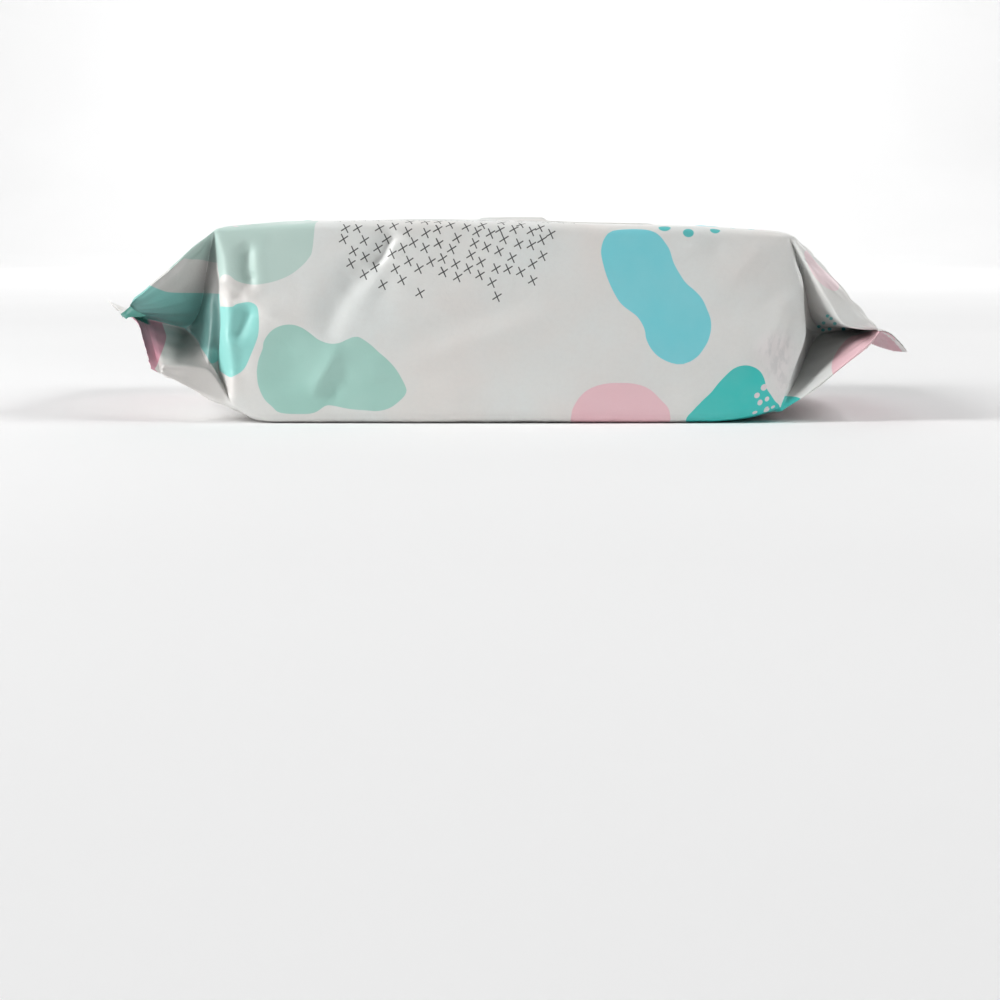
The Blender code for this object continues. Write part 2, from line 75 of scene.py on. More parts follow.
RIGHT_FRONT = {
    "edge": [(0.0, 74.4, -49.0, 4.6), (12.0, 78.2, -48.2, 15.0), (22.0, 81.4, -47.2, 24.7),
             (30.0, 80.8, -47.2, 31.0), (38.0, 80.2, -47.4, 39.0), (43.0, 78.5, -48.0, 43.2),
             (HEIGHT, 75.2, -49.0, 50.8)],
    "top_ridge": [(0.0, 76.8, -49.0, 50.6), (9.5, 83.6, -48.6, 43.5), (19.5, 90.6, -48.3, 36.3),
                  (27.5, 95.8, -48.1, 30.4), (FLAP, 100.6, -48.0, 25.2)],
    "top_lip": [(0.0, 76.4, -49.0, 49.8), (10.0, 81.4, -49.3, 41.2), (20.0, 86.2, -49.7, 33.0),
                (28.5, 91.8, -48.9, 26.4), (FLAP, 100.4, -46.0, 25.0)],
    "low_ridge": [(0.0, 74.4, -48.6, 3.0), (5.0, 78.8, -48.6, 5.8), (13.0, 85.0, -48.3, 10.3),
                  (20.5, 90.9, -48.1, 15.2), (29.5, 98.0, -48.0, 21.4), (FLAP, 100.5, -47.9, 24.2)],
    "low_lip": [(0.0, 74.4, -48.9, 4.4), (8.0, 80.2, -46.9, 8.6), (19.5, 89.0, -45.6, 16.6),
                (29.0, 96.6, -44.4, 22.2), (FLAP, 100.3, -42.0, 24.0)],
    "top_pleat": [(0.0, 75.2, -49.0, 50.6), (HALF, 89.7, -27.0, 24.6), (FLAP, 101.2, -25.5, 25.2)],
    "low_pleat": [(0.0, 74.4, -49.0, 4.8), (HALF, 89.9, -27.0, 23.4), (FLAP, 101.2, -25.5, 24.4)],
    "seal_top": [(0.0, 100.6, -48.0, 25.2), (1.0, 101.4, -25.5, 25.4)],
    "seal_low": [(0.0, 100.6, -47.98, 24.92), (1.0, 101.4, -25.5, 25.12)],
    "bend_top": [(0.0, 104.2, -48.0, 24.2), (1.0, 105.6, -25.5, 23.4)],
    "bend_low": [(0.0, 104.2, -47.98, 23.92), (1.0, 105.6, -25.5, 23.12)],
    "tip_top": [(0.0, 108.6, -48.0, 19.5), (1.0, 110.2, -25.5, 18.3)],
    "tip_low": [(0.0, 108.6, -47.98, 19.22), (1.0, 110.2, -25.5, 18.02)],
}
LEFT_BACK = {
    "edge": [(0.0, -74.6, -49.0, 4.2), (14.0, -78.0, -48.6, 16.5), (26.0, -79.2, -48.2, 28.0),
             (40.0, -78.4, -48.7, 41.0), (HEIGHT, -77.4, -49.0, 51.6)],
    "top_ridge": [(0.0, -77.6, -49.0, 51.6), (12.0, -86.2, -48.5, 43.6), (24.0, -94.6, -48.0, 35.6),
                  (FLAP, -102.4, -47.5, 28.6)],
    "top_lip": [(0.0, -77.6, -48.9, 50.8), (12.0, -84.6, -46.2, 41.2), (24.0, -91.6, -43.0, 32.0),
                (FLAP, -102.2, -40.0, 28.2)],
    "low_ridge": [(0.0, -74.6, -48.6, 3.2), (10.0, -82.0, -48.2, 8.0), (20.0, -90.0, -47.8, 14.6),
                  (29.0, -97.4, -47.6, 22.2), (FLAP, -102.3, -47.4, 27.4)],
    "low_lip": [(0.0, -74.6, -48.9, 4.0), (10.0, -81.4, -46.6, 11.4), (20.0, -88.0, -44.6, 19.0),
                (29.0, -96.0, -43.0, 25.2), (FLAP, -102.0, -42.0, 27.2)],
    "top_pleat": [(0.0, -77.4, -49.0, 51.2), (HALF, -90.4, -26.6, 26.8), (FLAP, -103.4, -25.5, 28.2)],
    "low_pleat": [(0.0, -74.6, -49.0, 4.4), (HALF, -90.2, -26.6, 25.6), (FLAP, -102.4, -25.5, 27.4)],
    "seal_top": [(0.0, -102.4, -47.5, 28.6), (1.0, -103.6, -25.5, 28.6)],
    "seal_low": [(0.0, -102.3, -47.4, 28.0), (1.0, -103.4, -25.5, 27.9)],
    "bend_top": [(0.0, -107.0, -47.4, 27.8), (1.0, -108.4, -25.5, 28.4)],
    "bend_low": [(0.0, -106.9, -47.3, 27.3), (1.0, -108.3, -25.5, 27.8)],
    "tip_top": [(0.0, -111.2, -47.2, 25.6), (1.0, -113.0, -25.5, 27.2)],
    "tip_low": [(0.0, -111.1, -47.1, 25.1), (1.0, -112.9, -25.5, 26.7)],
}
RIGHT_BACK = {
    "edge": [(0.0, 74.2, -49.0, 4.2), (12.0, 77.6, -48.5, 14.4), (26.0, 79.6, -47.9, 27.0),
             (40.0, 78.4, -48.4, 40.0), (HEIGHT, 75.6, -49.0, 51.0)],
    "top_ridge": [(0.0, 76.6, -49.0, 51.0), (12.0, 85.0, -48.4, 42.4), (24.0, 93.2, -47.8, 33.8),
                  (FLAP, 100.4, -47.0, 27.8)],
    "top_lip": [(0.0, 76.2, -48.9, 50.4), (12.0, 83.4, -46.4, 40.2), (24.0, 89.6, -42.6, 31.0),
                (FLAP, 100.2, -40.0, 26.8)],
    "low_ridge": [(0.0, 74.2, -48.6, 3.2), (10.0, 81.6, -48.0, 7.8), (20.0, 89.2, -47.4, 13.6),
                  (29.0, 96.0, -46.9, 19.4), (FLAP, 100.0, -46.6, 23.0)],
    "low_lip": [(0.0, 74.2, -48.9, 4.2), (10.0, 80.6, -46.4, 10.6), (20.0, 86.8, -44.0, 17.0),
                (29.0, 94.4, -42.0, 21.6), (FLAP, 99.9, -41.0, 23.4)],
    "top_pleat": [(0.0, 75.6, -49.0, 50.8), (HALF, 89.6, -26.8, 25.6), (FLAP, 101.2, -25.5, 25.3)],
    "low_pleat": [(0.0, 74.2, -49.0, 4.4), (HALF, 89.4, -26.8, 24.4), (FLAP, 101.0, -25.5, 24.5)],
    "seal_top": [(0.0, 100.4, -47.0, 27.8), (1.0, 101.4, -25.5, 25.5)],
    "seal_low": [(0.0, 100.0, -46.6, 23.0), (1.0, 101.4, -25.5, 24.8)],
    "bend_top": [(0.0, 104.8, -46.6, 27.0), (1.0, 105.8, -25.5, 23.4)],
    "bend_low": [(0.0, 103.8, -46.4, 20.4), (1.0, 105.7, -25.5, 22.8)],
    "tip_top": [(0.0, 108.8, -46.0, 24.6), (1.0, 110.4, -25.5, 19.4)],
    "tip_low": [(0.0, 107.4, -46.0, 16.4), (1.0, 110.3, -25.5, 18.8)],
}
LEFT_MIDDLE = {
    "top": [(0.0, -78.6, 0.0, 53.4), (7.0, -85.0, 0.0, 49.6), (18.0, -93.2, 0.0, 41.2),
            (28.0, -99.8, 0.0, 33.6), (FLAP, -104.8, 0.0, 28.2)],
    "low": [(0.0, -72.5, 0.0, 0.0), (8.0, -80.0, 0.0, 4.2), (18.0, -88.8, 0.0, 10.6),
            (28.0, -97.6, 0.0, 20.4), (FLAP, -104.4, 0.0, 27.4)],
    "bend": (-109.6, 0.0, 28.9),
    "tip": (-114.2, 0.0, 28.4),
}
RIGHT_MIDDLE = {
    "top": [(0.0, 77.4, 0.0, 51.9), (7.0, 83.6, 0.0, 48.0), (18.0, 91.4, 0.0, 39.0),
            (28.0, 98.0, 0.0, 31.2), (FLAP, 102.8, 0.0, 25.2)],
    "low": [(0.0, 72.0, 0.0, 0.0), (8.0, 79.4, 0.0, 3.8), (18.0, 88.0, 0.0, 9.8),
            (28.0, 96.4, 0.0, 18.0), (FLAP, 102.6, 0.0, 24.4)],
    "bend": (107.4, 0.0, 22.8),
    "tip": (111.8, 0.0, 17.4),
}
CROWN = [(-80.0, 53.4), (-66.0, 54.2), (-55.0, 54.6), (-28.0, 54.9), (0.0, 54.8), (14.0, 54.4), (27.0, 54.0), (41.0, 53.6),
         (54.0, 53.2), (68.0, 52.4), (80.0, 51.8)]
SHOULDER = [(-80.0, 52.4), (-74.0, 53.0), (-66.0, 53.7), (-55.0, 54.1), (-41.5, 54.35), (-28.0, 54.5), (-9.0, 54.5),
            (12.8, 53.9), (26.3, 53.5), (40.0, 53.1), (53.5, 52.8), (67.0, 52.0), (77.0, 51.0), (80.0, 50.8)]

# Mesh density: columns round the girth and rows along the film.
N_FRONT, N_BACK, N_TOP, N_LOW = 88, 56, 36, 36
FLAP_ROWS, FIN_ROWS = 12, 34


def curve(table, at):
    """Smooth points through the rows of a table whose first column is the parameter."""
    table = np.array(table, float)
    t, p = table[:, 0], table[:, 1:]
    at = np.clip(np.atleast_1d(np.asarray(at, float)), t[0], t[-1])
    if len(t) == 2:
        s = ((at - t[0]) / (t[1] - t[0]))[:, None]
        return p[0] * (1 - s) + p[1] * s
    h = np.diff(t)
    d = np.diff(p, axis=0) / h[:, None]
    m = np.zeros_like(p)
    m[0], m[-1] = d[0], d[-1]
    for i in range(1, len(t) - 1):
        w1, w2 = 2 * h[i] + h[i - 1], h[i] + 2 * h[i - 1]
        ok = d[i - 1] * d[i] > 0
        with np.errstate(divide="ignore", invalid="ignore"):
            mean = (w1 + w2) / (w1 / d[i - 1] + w2 / d[i])
        m[i] = np.where(ok, mean, 0.0)
    k = np.clip(np.searchsorted(t, at, side="right") - 1, 0, len(t) - 2)
    s = ((at - t[k]) / h[k])[:, None]
    hk = h[k][:, None]
    return ((2 * s**3 - 3 * s**2 + 1) * p[k] + (s**3 - 2 * s**2 + s) * hk * m[k]
            + (-2 * s**3 + 3 * s**2) * p[k + 1] + (s**3 - s**2) * hk * m[k + 1])


def height(table, x):
    table = np.array(table)
    x = np.asarray(x, float)
    fine = np.linspace(table[0, 0], table[-1, 0], 200)
    values = np.interp(fine, table[:, 0], table[:, 1])
    values = np.convolve(np.pad(values, 6, mode="edge"), np.ones(13) / 13, mode="valid")
    return np.interp(x, fine, values)


def side_row(keys, u, side):
    if u <= 0.0:
        return curve(keys["edge"], side)
    low_at, top_at = min(u, HALF - 0.5), max(HEIGHT - u, HALF + 0.5)
    at = [0.0, low_at, top_at, HEIGHT]
    points = [curve(keys[name], u)[0] for name in ("low_ridge", "low_pleat", "top_pleat", "top_ridge")]
    if "low_lip" in keys:
        at.insert(1, low_at * 0.34)
        points.insert(1, curve(keys["low_lip"], u)[0])
    if "top_lip" in keys:
        at.insert(-1, HEIGHT - (HEIGHT - top_at) * 0.34)
        points.insert(-1, curve(keys["top_lip"], u)[0])
    points = np.array(points)
    row = np.stack([np.interp(side, at, points[:, k]) for k in range(3)], axis=-1)
    ends = [np.array(keys["edge"][0][1:]), np.array(keys["edge"][-1][1:])]
    s = (side / HEIGHT)[:, None]
    chord = ends[0] * (1 - s) + ends[1] * s
    fade = max(0.0, 1.0 - u / HALF) * 0.7
    inside = (side > low_at) & (side < top_at)
    row[inside] += (curve(keys["edge"], side) - chord)[inside] * fade
    return row


def panel_row(corner, middle, panel, power):
    t = panel[:, None]
    row = corner * (1.0 - t) + middle * t
    lift = (middle - corner) * ((1.0 - (1.0 - t) ** power) - t)
    lift[:, 1] = 0.0
    return row + lift


def half_ring(keys, middle, u, n_side):
    side = side_row(keys, u, np.linspace(0.0, HEIGHT, n_side + 1))
    reach = max(0.0, 1.0 - u / FLAP)
    top = panel_row(side[-1], curve(middle["top"], u)[0], np.linspace(0, 1, N_TOP + 1), 1.0 + reach)
    low = panel_row(side[0], curve(middle["low"], u)[0], np.linspace(0, 1, N_LOW + 1), 1.0 + 2.4 * reach)
    return np.concatenate([low[::-1], side[1:], top[1:]])


def bend(a, b, c, f):
    """A curve from a through b (at f = 0.5) to c."""
    return a * (1 - f) * (1 - 2 * f) + b * 4 * f * (1 - f) + c * f * (2 * f - 1)


def fin_half(keys, middle, f, n_side):
    """The seal's half ring at fraction f of its width. Layers are LAYER thick in pairs."""
    thick = np.array([0.0, 0.0, LAYER])

    def pair(which, run):
        run = np.asarray(run)
        return bend(curve(keys["seal_" + which], run), curve(keys["bend_" + which], run), curve(keys["tip_" + which], run), f)

    root = curve(middle["top"], FLAP)[0]
    centre = bend(root, np.array(middle["bend"]), np.array(middle["tip"]), f)

    def panel(which, count, drop):
        t = np.linspace(0.0, 1.0, count + 1)
        near = t[t <= 0.5 + 1e-9]
        far = (t[t > 0.5 + 1e-9] - 0.5) * 2.0
        a = pair(which, near * 2.0) - drop
        last = pair(which, [1.0])[0] - drop
        bow = np.sin(far * math.pi / 2.0)[:, None]
        blend = np.concatenate([bow, far[:, None], bow], axis=1)
        return np.concatenate([a, last * (1 - blend) + (centre - drop) * blend])

    top = panel("top", N_TOP, 0.0 * thick)
    low = panel("low", N_LOW, thick)
    run = np.linspace(0.0, 1.0, n_side // 2 + 1)
    gusset = np.concatenate([pair("low", run), (pair("top", run) - thick)[::-1][1:]])
    return np.concatenate([low[::-1], gusset[1:], top[1:]])


def ring(front, back):
    back = back * np.array([1.0, -1.0, 1.0])
    return np.concatenate([front, back[::-1][1:-1]])


def section(w, xs):
    swell = math.sin(math.pi * min(max(w, 0.0), 1.0)) ** 0.7
    half_width = WIDTH / 2.0 - SIDE_BULGE * (1.0 - swell)
    top_soft = 1.4 + (TOP_ROUND - 1.4) * swell ** 0.6
    base_soft = 1.4 + (BASE_ROUND - 1.4) * swell ** 0.6

    def shift(distance, soft):
        return np.maximum(0.0, soft - distance) ** 2 / (4.0 * soft)

    def half(n_side):
        t = np.linspace(0, 1, N_LOW + 1)[::-1]
        d = half_width * t
        k = shift(d, base_soft)
        low = np.stack([-(half_width - d - k), k], axis=1)
        s = np.linspace(0, HEIGHT, n_side + 1)[1:-1]
        k, m = shift(s, base_soft), shift(HEIGHT - s, top_soft)
        side = np.stack([-(half_width - k - m), s + k - m], axis=1)
        d = half_width * np.linspace(0, 1, N_TOP + 1)
        m = shift(d, top_soft)
        top = np.stack([-(half_width - d - m), HEIGHT - m], axis=1)
        return np.concatenate([low, side, top])

    front, back = half(N_FRONT), half(N_BACK) * np.array([-1.0, 1.0])
    yz = np.concatenate([front, back[::-1][1:-1]])
    crown, shoulder = height(CROWN, xs), height(SHOULDER, xs)
    arch = crown - (crown - shoulder) * (yz[:, 0] / half_width) ** 2
    return np.stack([xs, yz[:, 0], yz[:, 1] * (arch / HEIGHT)], axis=-1)


def film_v():
    """Film coordinate round the girth of each column: 0 at the front lower edge, HEIGHT at the upper."""
    def half(n_side):
        low = -PANEL * np.linspace(0, 1, N_LOW + 1)[::-1]
        side = np.linspace(0, HEIGHT, n_side + 1)[1:]
        top = HEIGHT + PANEL * np.linspace(0, 1, N_TOP + 1)[1:]
        return np.concatenate([low, side, top])
    front, back = half(N_FRONT), half(N_BACK)
    return np.concatenate([front, (2 * HEIGHT + 2 * PANEL - back)[::-1][1:-1]])


def pouch_grid():
    """Points (rows, columns, 3) in mm, film coordinates, and each row's distance past the body."""
    past = list(np.linspace(0.0, HALF, N_FRONT // 2 + 1)[1:]) + list(HALF + (FLAP - HALF) * np.linspace(0, 1, FLAP_ROWS + 1)[1:-1])
    fins = np.linspace(0.0, 1.0, FIN_ROWS + 1)

    def end(front, back, middle):
        rows = [ring(half_ring(front, middle, u, N_FRONT), half_ring(back, middle, u, N_BACK)) for u in past]
        rows += [ring(fin_half(front, middle, f, N_FRONT), fin_half(back, middle, f, N_BACK)) for f in fins]
        start = ring(half_ring(front, middle, 0.0, N_FRONT), half_ring(back, middle, 0.0, N_BACK))
        return start, rows, past + [FLAP + FIN * f for f in fins]

    left_end, left, left_u = end(LEFT_FRONT, LEFT_BACK, LEFT_MIDDLE)
    right_end, right, right_u = end(RIGHT_FRONT, RIGHT_BACK, RIGHT_MIDDLE)
    body = np.concatenate([np.linspace(0, 60.0, 81), np.linspace(60.0, 130.0, 44)[1:-1], np.linspace(130.0, 155.0, 32)]) / 155.0
    rows, us = [], []
    for w in body:
        xs = left_end[:, 0] * (1 - w) + right_end[:, 0] * w
        row = section(w, xs)
        for stop, at, base in ((left_end, 0.0, LEFT_BASE_REACH), (right_end, 1.0, END_REACH)):
            reach = base + (END_REACH - base) * np.clip(stop[:, 2:] / 15.0, 0.0, 1.0)
            pull = np.maximum(0.0, 1.0 - abs(w - at) * 155.0 / reach) ** 2
            row = row + (stop - section(at, stop[:, 0])) * pull
        rows.append(row)
        us.append(xs)
    grid = np.array(left[::-1] + rows + right)
    film_u = np.array([left_end[:, 0] - u for u in left_u[::-1]] + us + [right_end[:, 0] + u for u in right_u])
    beyond = np.array([-u for u in left_u[::-1]] + [0.0] * len(body) + list(right_u))
    return grid, film_u, film_v(), beyond


# ------------------------------------------------------------------------------------------------
# The camera, which is also the ruler for the folds and the print of the front long side.
# ------------------------------------------------------------------------------------------------
EYE = np.array([-0.8, -533.0, 51.5])
TILT = math.radians(8.534)
FOCAL = 1786.0          # in picture widths / 1000


def to_picture(points):
    d = np.asarray(points, float) - EYE
    depth = d[..., 1] * math.cos(TILT) - d[..., 2] * math.sin(TILT)
    rise = d[..., 1] * math.sin(TILT) + d[..., 2] * math.cos(TILT)
    return np.stack([500 + FOCAL * d[..., 0] / depth, 500 - FOCAL * rise / depth], axis=-1)


class FrontSide:
    """Turns picture positions on the front long side into film coordinates."""

    def __init__(self, grid, film):
        self.seen, self.film = to_picture(grid), film

    def film_at(self, pixels):
        out = []
        rows, cols = self.seen.shape[:2]
        for p in np.atleast_2d(np.asarray(pixels, float)):
            k = int(((self.seen - p) ** 2).sum(-1).argmin())
            r, c = min(max(k // cols, 1), rows - 2), min(max(k % cols, 1), cols - 2)
            dr = (self.seen[r + 1, c] - self.seen[r - 1, c]) / 2
            dc = (self.seen[r, c + 1] - self.seen[r, c - 1]) / 2
            step, *_ = np.linalg.lstsq(np.stack([dr, dc], axis=1), p - self.seen[r, c], rcond=None)
            step = np.clip(step, -6, 6)
            fr = (self.film[r + 1, c] - self.film[r - 1, c]) / 2
            fc = (self.film[r, c + 1] - self.film[r, c - 1]) / 2
            out.append(self.film[r, c] + fr * step[0] + fc * step[1])
        return np.array(out)


# ------------------------------------------------------------------------------------------------
# Plane geometry of the print
# ------------------------------------------------------------------------------------------------
def rounded(outline, steps=4):
    """A closed outline with a smooth curve through its points."""
    p = np.asarray(outline, float)
    a, b, c, d = np.roll(p, 1, 0), p, np.roll(p, -1, 0), np.roll(p, -2, 0)
    out = []
    for t in np.linspace(0, 1, steps, endpoint=False):
        out.append(0.5 * (2 * b + (c - a) * t + (2 * a - 5 * b + 4 * c - d) * t**2 + (3 * b - a - 3 * c + d) * t**3))
    return np.stack(out, axis=1).reshape(-1, 2)


def signed_distance(points, outline, margin=8.0):
    """Distance to a closed outline, negative inside. Far from it the value is just large."""
    flat = points.reshape(-1, 2)
    far = np.full(len(flat), 99.0)
    low, high = outline.min(0) - margin, outline.max(0) + margin
    near = ((flat > low) & (flat < high)).all(1)
    p = flat[near]
    best, inside = np.full(len(p), 1e9), np.zeros(len(p), bool)
    for a, b in zip(outline, np.roll(outline, -1, 0)):
        e, w = b - a, p - a
        t = np.clip(w @ e / max(e @ e, 1e-12), 0, 1)
        best = np.minimum(best, ((w - t[:, None] * e) ** 2).sum(1))
        if a[1] != b[1]:
            over = (a[1] > p[:, 1]) != (b[1] > p[:, 1])
            inside ^= over & (p[:, 0] < (b[0] - a[0]) * (p[:, 1] - a[1]) / (b[1] - a[1]) + a[0])
    far[near] = np.where(inside, -np.sqrt(best), np.sqrt(best))
    return far.reshape(points.shape[:-1])


def bean(x, y, rx, ry, turn=0.0, waist=0.0, lean=0.0):
    """A soft closed shape: an ellipse with an optional waist on one side."""
    a = np.linspace(0, 2 * math.pi, 40, endpoint=False)
    wobble = 0.07 * np.cos(2 * a + x * 1.7 + y) + 0.055 * np.cos(3 * a + y * 0.9 - x) + 0.02 * np.cos(5 * a + x)
    r = 1.0 + wobble + lean * np.cos(a) * 0.15 - waist * np.exp(-((np.angle(np.exp(1j * (a - math.pi / 2)))) / 0.5) ** 2)
    px, py = rx * r * np.cos(a), ry * r * np.sin(a)
    t = math.radians(turn)
    return np.stack([x + px * math.cos(t) - py * math.sin(t), y + px * math.sin(t) + py * math.cos(t)], axis=1)


def moved(outline, x, y, turn, size=1.0):
    """An outline turned about its middle and set down at x, y."""
    p = (outline - (outline.min(0) + outline.max(0)) / 2) * size
    t = math.radians(turn)
    return np.stack([x + p[:, 0] * math.cos(t) - p[:, 1] * math.sin(t), y + p[:, 0] * math.sin(t) + p[:, 1] * math.cos(t)], axis=1)


def line_distance(points, line):
    """Distance to an open line and how far along it (0 to 1) the nearest place is."""
    line = np.asarray(line, float)
    lengths = np.hypot(*np.diff(line, axis=0).T)
    total, run = lengths.sum(), 0.0
    best, place = np.full(points.shape[:-1], 1e9), np.zeros(points.shape[:-1])
    for a, b, n in zip(line[:-1], line[1:], lengths):
        e, w = b - a, points - a
        t = np.clip((w @ e) / (n * n), 0, 1)
        d = np.sqrt(((w - t[..., None] * e) ** 2).sum(-1))
        closer = d < best
        best, place = np.where(closer, d, best), np.where(closer, (run + t * n) / total, place)
        run += n
    return best, place


def linear(r, g, b):
    def one(c):
        c /= 255.0
        return c / 12.92 if c <= 0.04045 else ((c + 0.055) / 1.055) ** 2.4
    return np.array([one(r), one(g), one(b)])


# Inks, as the colour of the printed film itself, apart from the darkened teal on the last line, which is painted shade
# for the lip of the left seal.
PALE_MINT, SOFT_MINT = linear(190, 214, 206), linear(165, 209, 198)
TEAL, SEA, SKY = linear(148, 218, 211), linear(44, 198, 192), linear(122, 213, 223)
ROSE, BLUSH, MAUVE, DOT_TEAL = linear(238, 196, 203), linear(236, 216, 219), linear(222, 160, 176), linear(92, 192, 192)
PAINTED_SHADE_TEAL = linear(44, 128, 116)

# Shapes of the front long side, as picture positions.
CORNER_BLOB = [(312.8, 221), (312.8, 246), (308, 259), (298.7, 268.6), (288, 276), (272, 282), (254.6, 284.6),
               (243.8, 283.3), (236, 280.6), (222, 275)]
SIDE_BLOB = [(205, 300), (217, 306), (232, 306.7), (236.5, 304), (249, 302), (256.6, 306), (258.6, 315), (258.6, 331.5),
             (256, 342), (250.5, 355.6), (244, 369), (234.5, 375.7), (228, 376.4), (213, 363.7), (203, 352)]
WIDE_BLOB = [(257, 369), (258.6, 359.6), (262.6, 349), (264, 341), (270.6, 331.5), (280, 326), (290.7, 324.5),
             (301.4, 327.5), (311, 334), (319, 340), (329.5, 343.6), (339, 343), (347, 339.5), (353.7, 337),
             (360, 337.5), (371, 345), (378, 351.6), (387.4, 359.6), (396.8, 370.4), (405.5, 386.4), (406, 393),
             (400.8, 399.8), (390, 407.9), (378, 411), (368, 410.5), (349.6, 409), (333.6, 405.8), (325.5, 405.8),
             (316, 412), (305, 414), (281, 413), (272, 406.5), (264, 398.5), (258.6, 386.4), (257, 375.7)]
KIDNEY = [(614, 230.4), (628.7, 229.2), (643, 229.4), (652, 231), (659.5, 235.5), (665.4, 243), (669.7, 250),
          (673.4, 262), (678.6, 272), (686, 283), (694.7, 290.5), (702, 298.6), (707, 309), (710.4, 319),
          (710.8, 329.4), (708.6, 339.7), (704, 348.5), (697.6, 356.6), (690, 361.7), (681.5, 364.3),
          (672.7, 363.4), (664, 360), (656.5, 355), (650, 347), (646, 338), (645, 331), (642, 323.6), (636.7, 316),
          (630, 311), (621, 303.7), (614, 292.7), (607.4, 278), (603, 263.4), (601, 251.7), (603, 241.4), (607.4, 234)]
DOME = [(670, 414), (667.5, 407), (661, 400), (652, 391), (643, 386), (631.6, 383.4), (620, 383), (608, 383.4),
        (596, 386), (586, 391), (579, 398), (573.5, 407), (571.5, 414)]
MOUND = [(686, 422), (687, 417), (694.7, 408.6), (702, 401), (711, 392.5), (718, 383.7), (725.5, 375.6), (733, 369),
         (740, 366), (747.5, 365.4), (755, 367.6), (760.7, 372), (764.4, 379), (766.6, 388), (771, 395), (775, 401),
         (780, 407), (784, 414)]
PALE_PATCH = [(752, 350), (760, 336), (776, 330), (792, 334), (797, 352), (792, 376), (784, 400), (776, 398), (770, 384), (760, 366)]
# Small dots: picture position and size, then 0 for teal or 1 for pale.
FRONT_DOTS = [(640, 225, 3, 3, 0), (664.6, 227.6, 6, 4.6, 0), (688.5, 232.6, 5.5, 4.5, 0), (715, 230.2, 5, 4.4, 0), (736, 230.8, 4.5, 3.6, 0),
              (764, 387.4, 3.2, 3.6, 1), (757, 395.4, 2.8, 3.0, 1), (767, 399, 2.2, 2.8, 1), (760, 402.5, 2.6, 3.2, 1),
              (766.6, 410, 2.8, 5.2, 1), (754.8, 412.6, 2.6, 2.4, 1), (773, 407, 2.0, 2.2, 1), (758.5, 418, 2.2, 2.0, 1)]
INNER_DOTS = [(827.6, 316), (823.6, 323), (834.8, 323.6), (829.5, 329), (823, 330), (843.5, 329), (819, 326.5), (831, 318.5)]
CROSSES = [(345.6, 228), (357.7, 228), (379.6, 228), (343.6, 239), (364.4, 240.4), (353.7, 251), (365, 257), (378, 248),
           (351, 263.5), (375, 267), (364.4, 274.6), (383, 284.8), (394, 225.7), (386.7, 239), (407.5, 231.7), (426, 233),
           (438.3, 229), (450.4, 224.6), (413.5, 242.5), (402.8, 248), (392, 253.8), (425, 248), (439, 243.4), (457, 238),
           (466.4, 226.8), (477, 232), (482.5, 224.4), (490.5, 233.5), (500, 229.7), (504, 239), (514, 229), (521, 224.4),
           (474.5, 243.4), (486.5, 247), (451.7, 249), (443, 258.5), (408.8, 261), (395.4, 268.8), (402, 280), (419, 268.6),
           (431, 261.6), (455.7, 264), (471, 255), (481, 262), (499, 251), (518.7, 243.8), (512, 257.6), (468.4, 268.6),
           (480, 275), (496, 268.6), (508, 269), (457.7, 277), (443.7, 272), (492, 282.6), (497, 296.7), (520.7, 272),
           (532.7, 264), (542.8, 255.8), (532.7, 280.4), (531.4, 245), (542, 239.8), (550.8, 233.7), (531.4, 231),
           (540, 227.7), (413, 221.7), (425.6, 221.7), (420, 293)]

# Where the front long side starts to turn in towards the left end, as picture positions from the top down.
TURN = [(214.5, 229), (219.5, 240), (225, 256), (227.5, 277), (229.5, 292), (230.6, 310), (230.6, 341), (233.4, 362), (235, 378), (234, 408), (236, 419)]

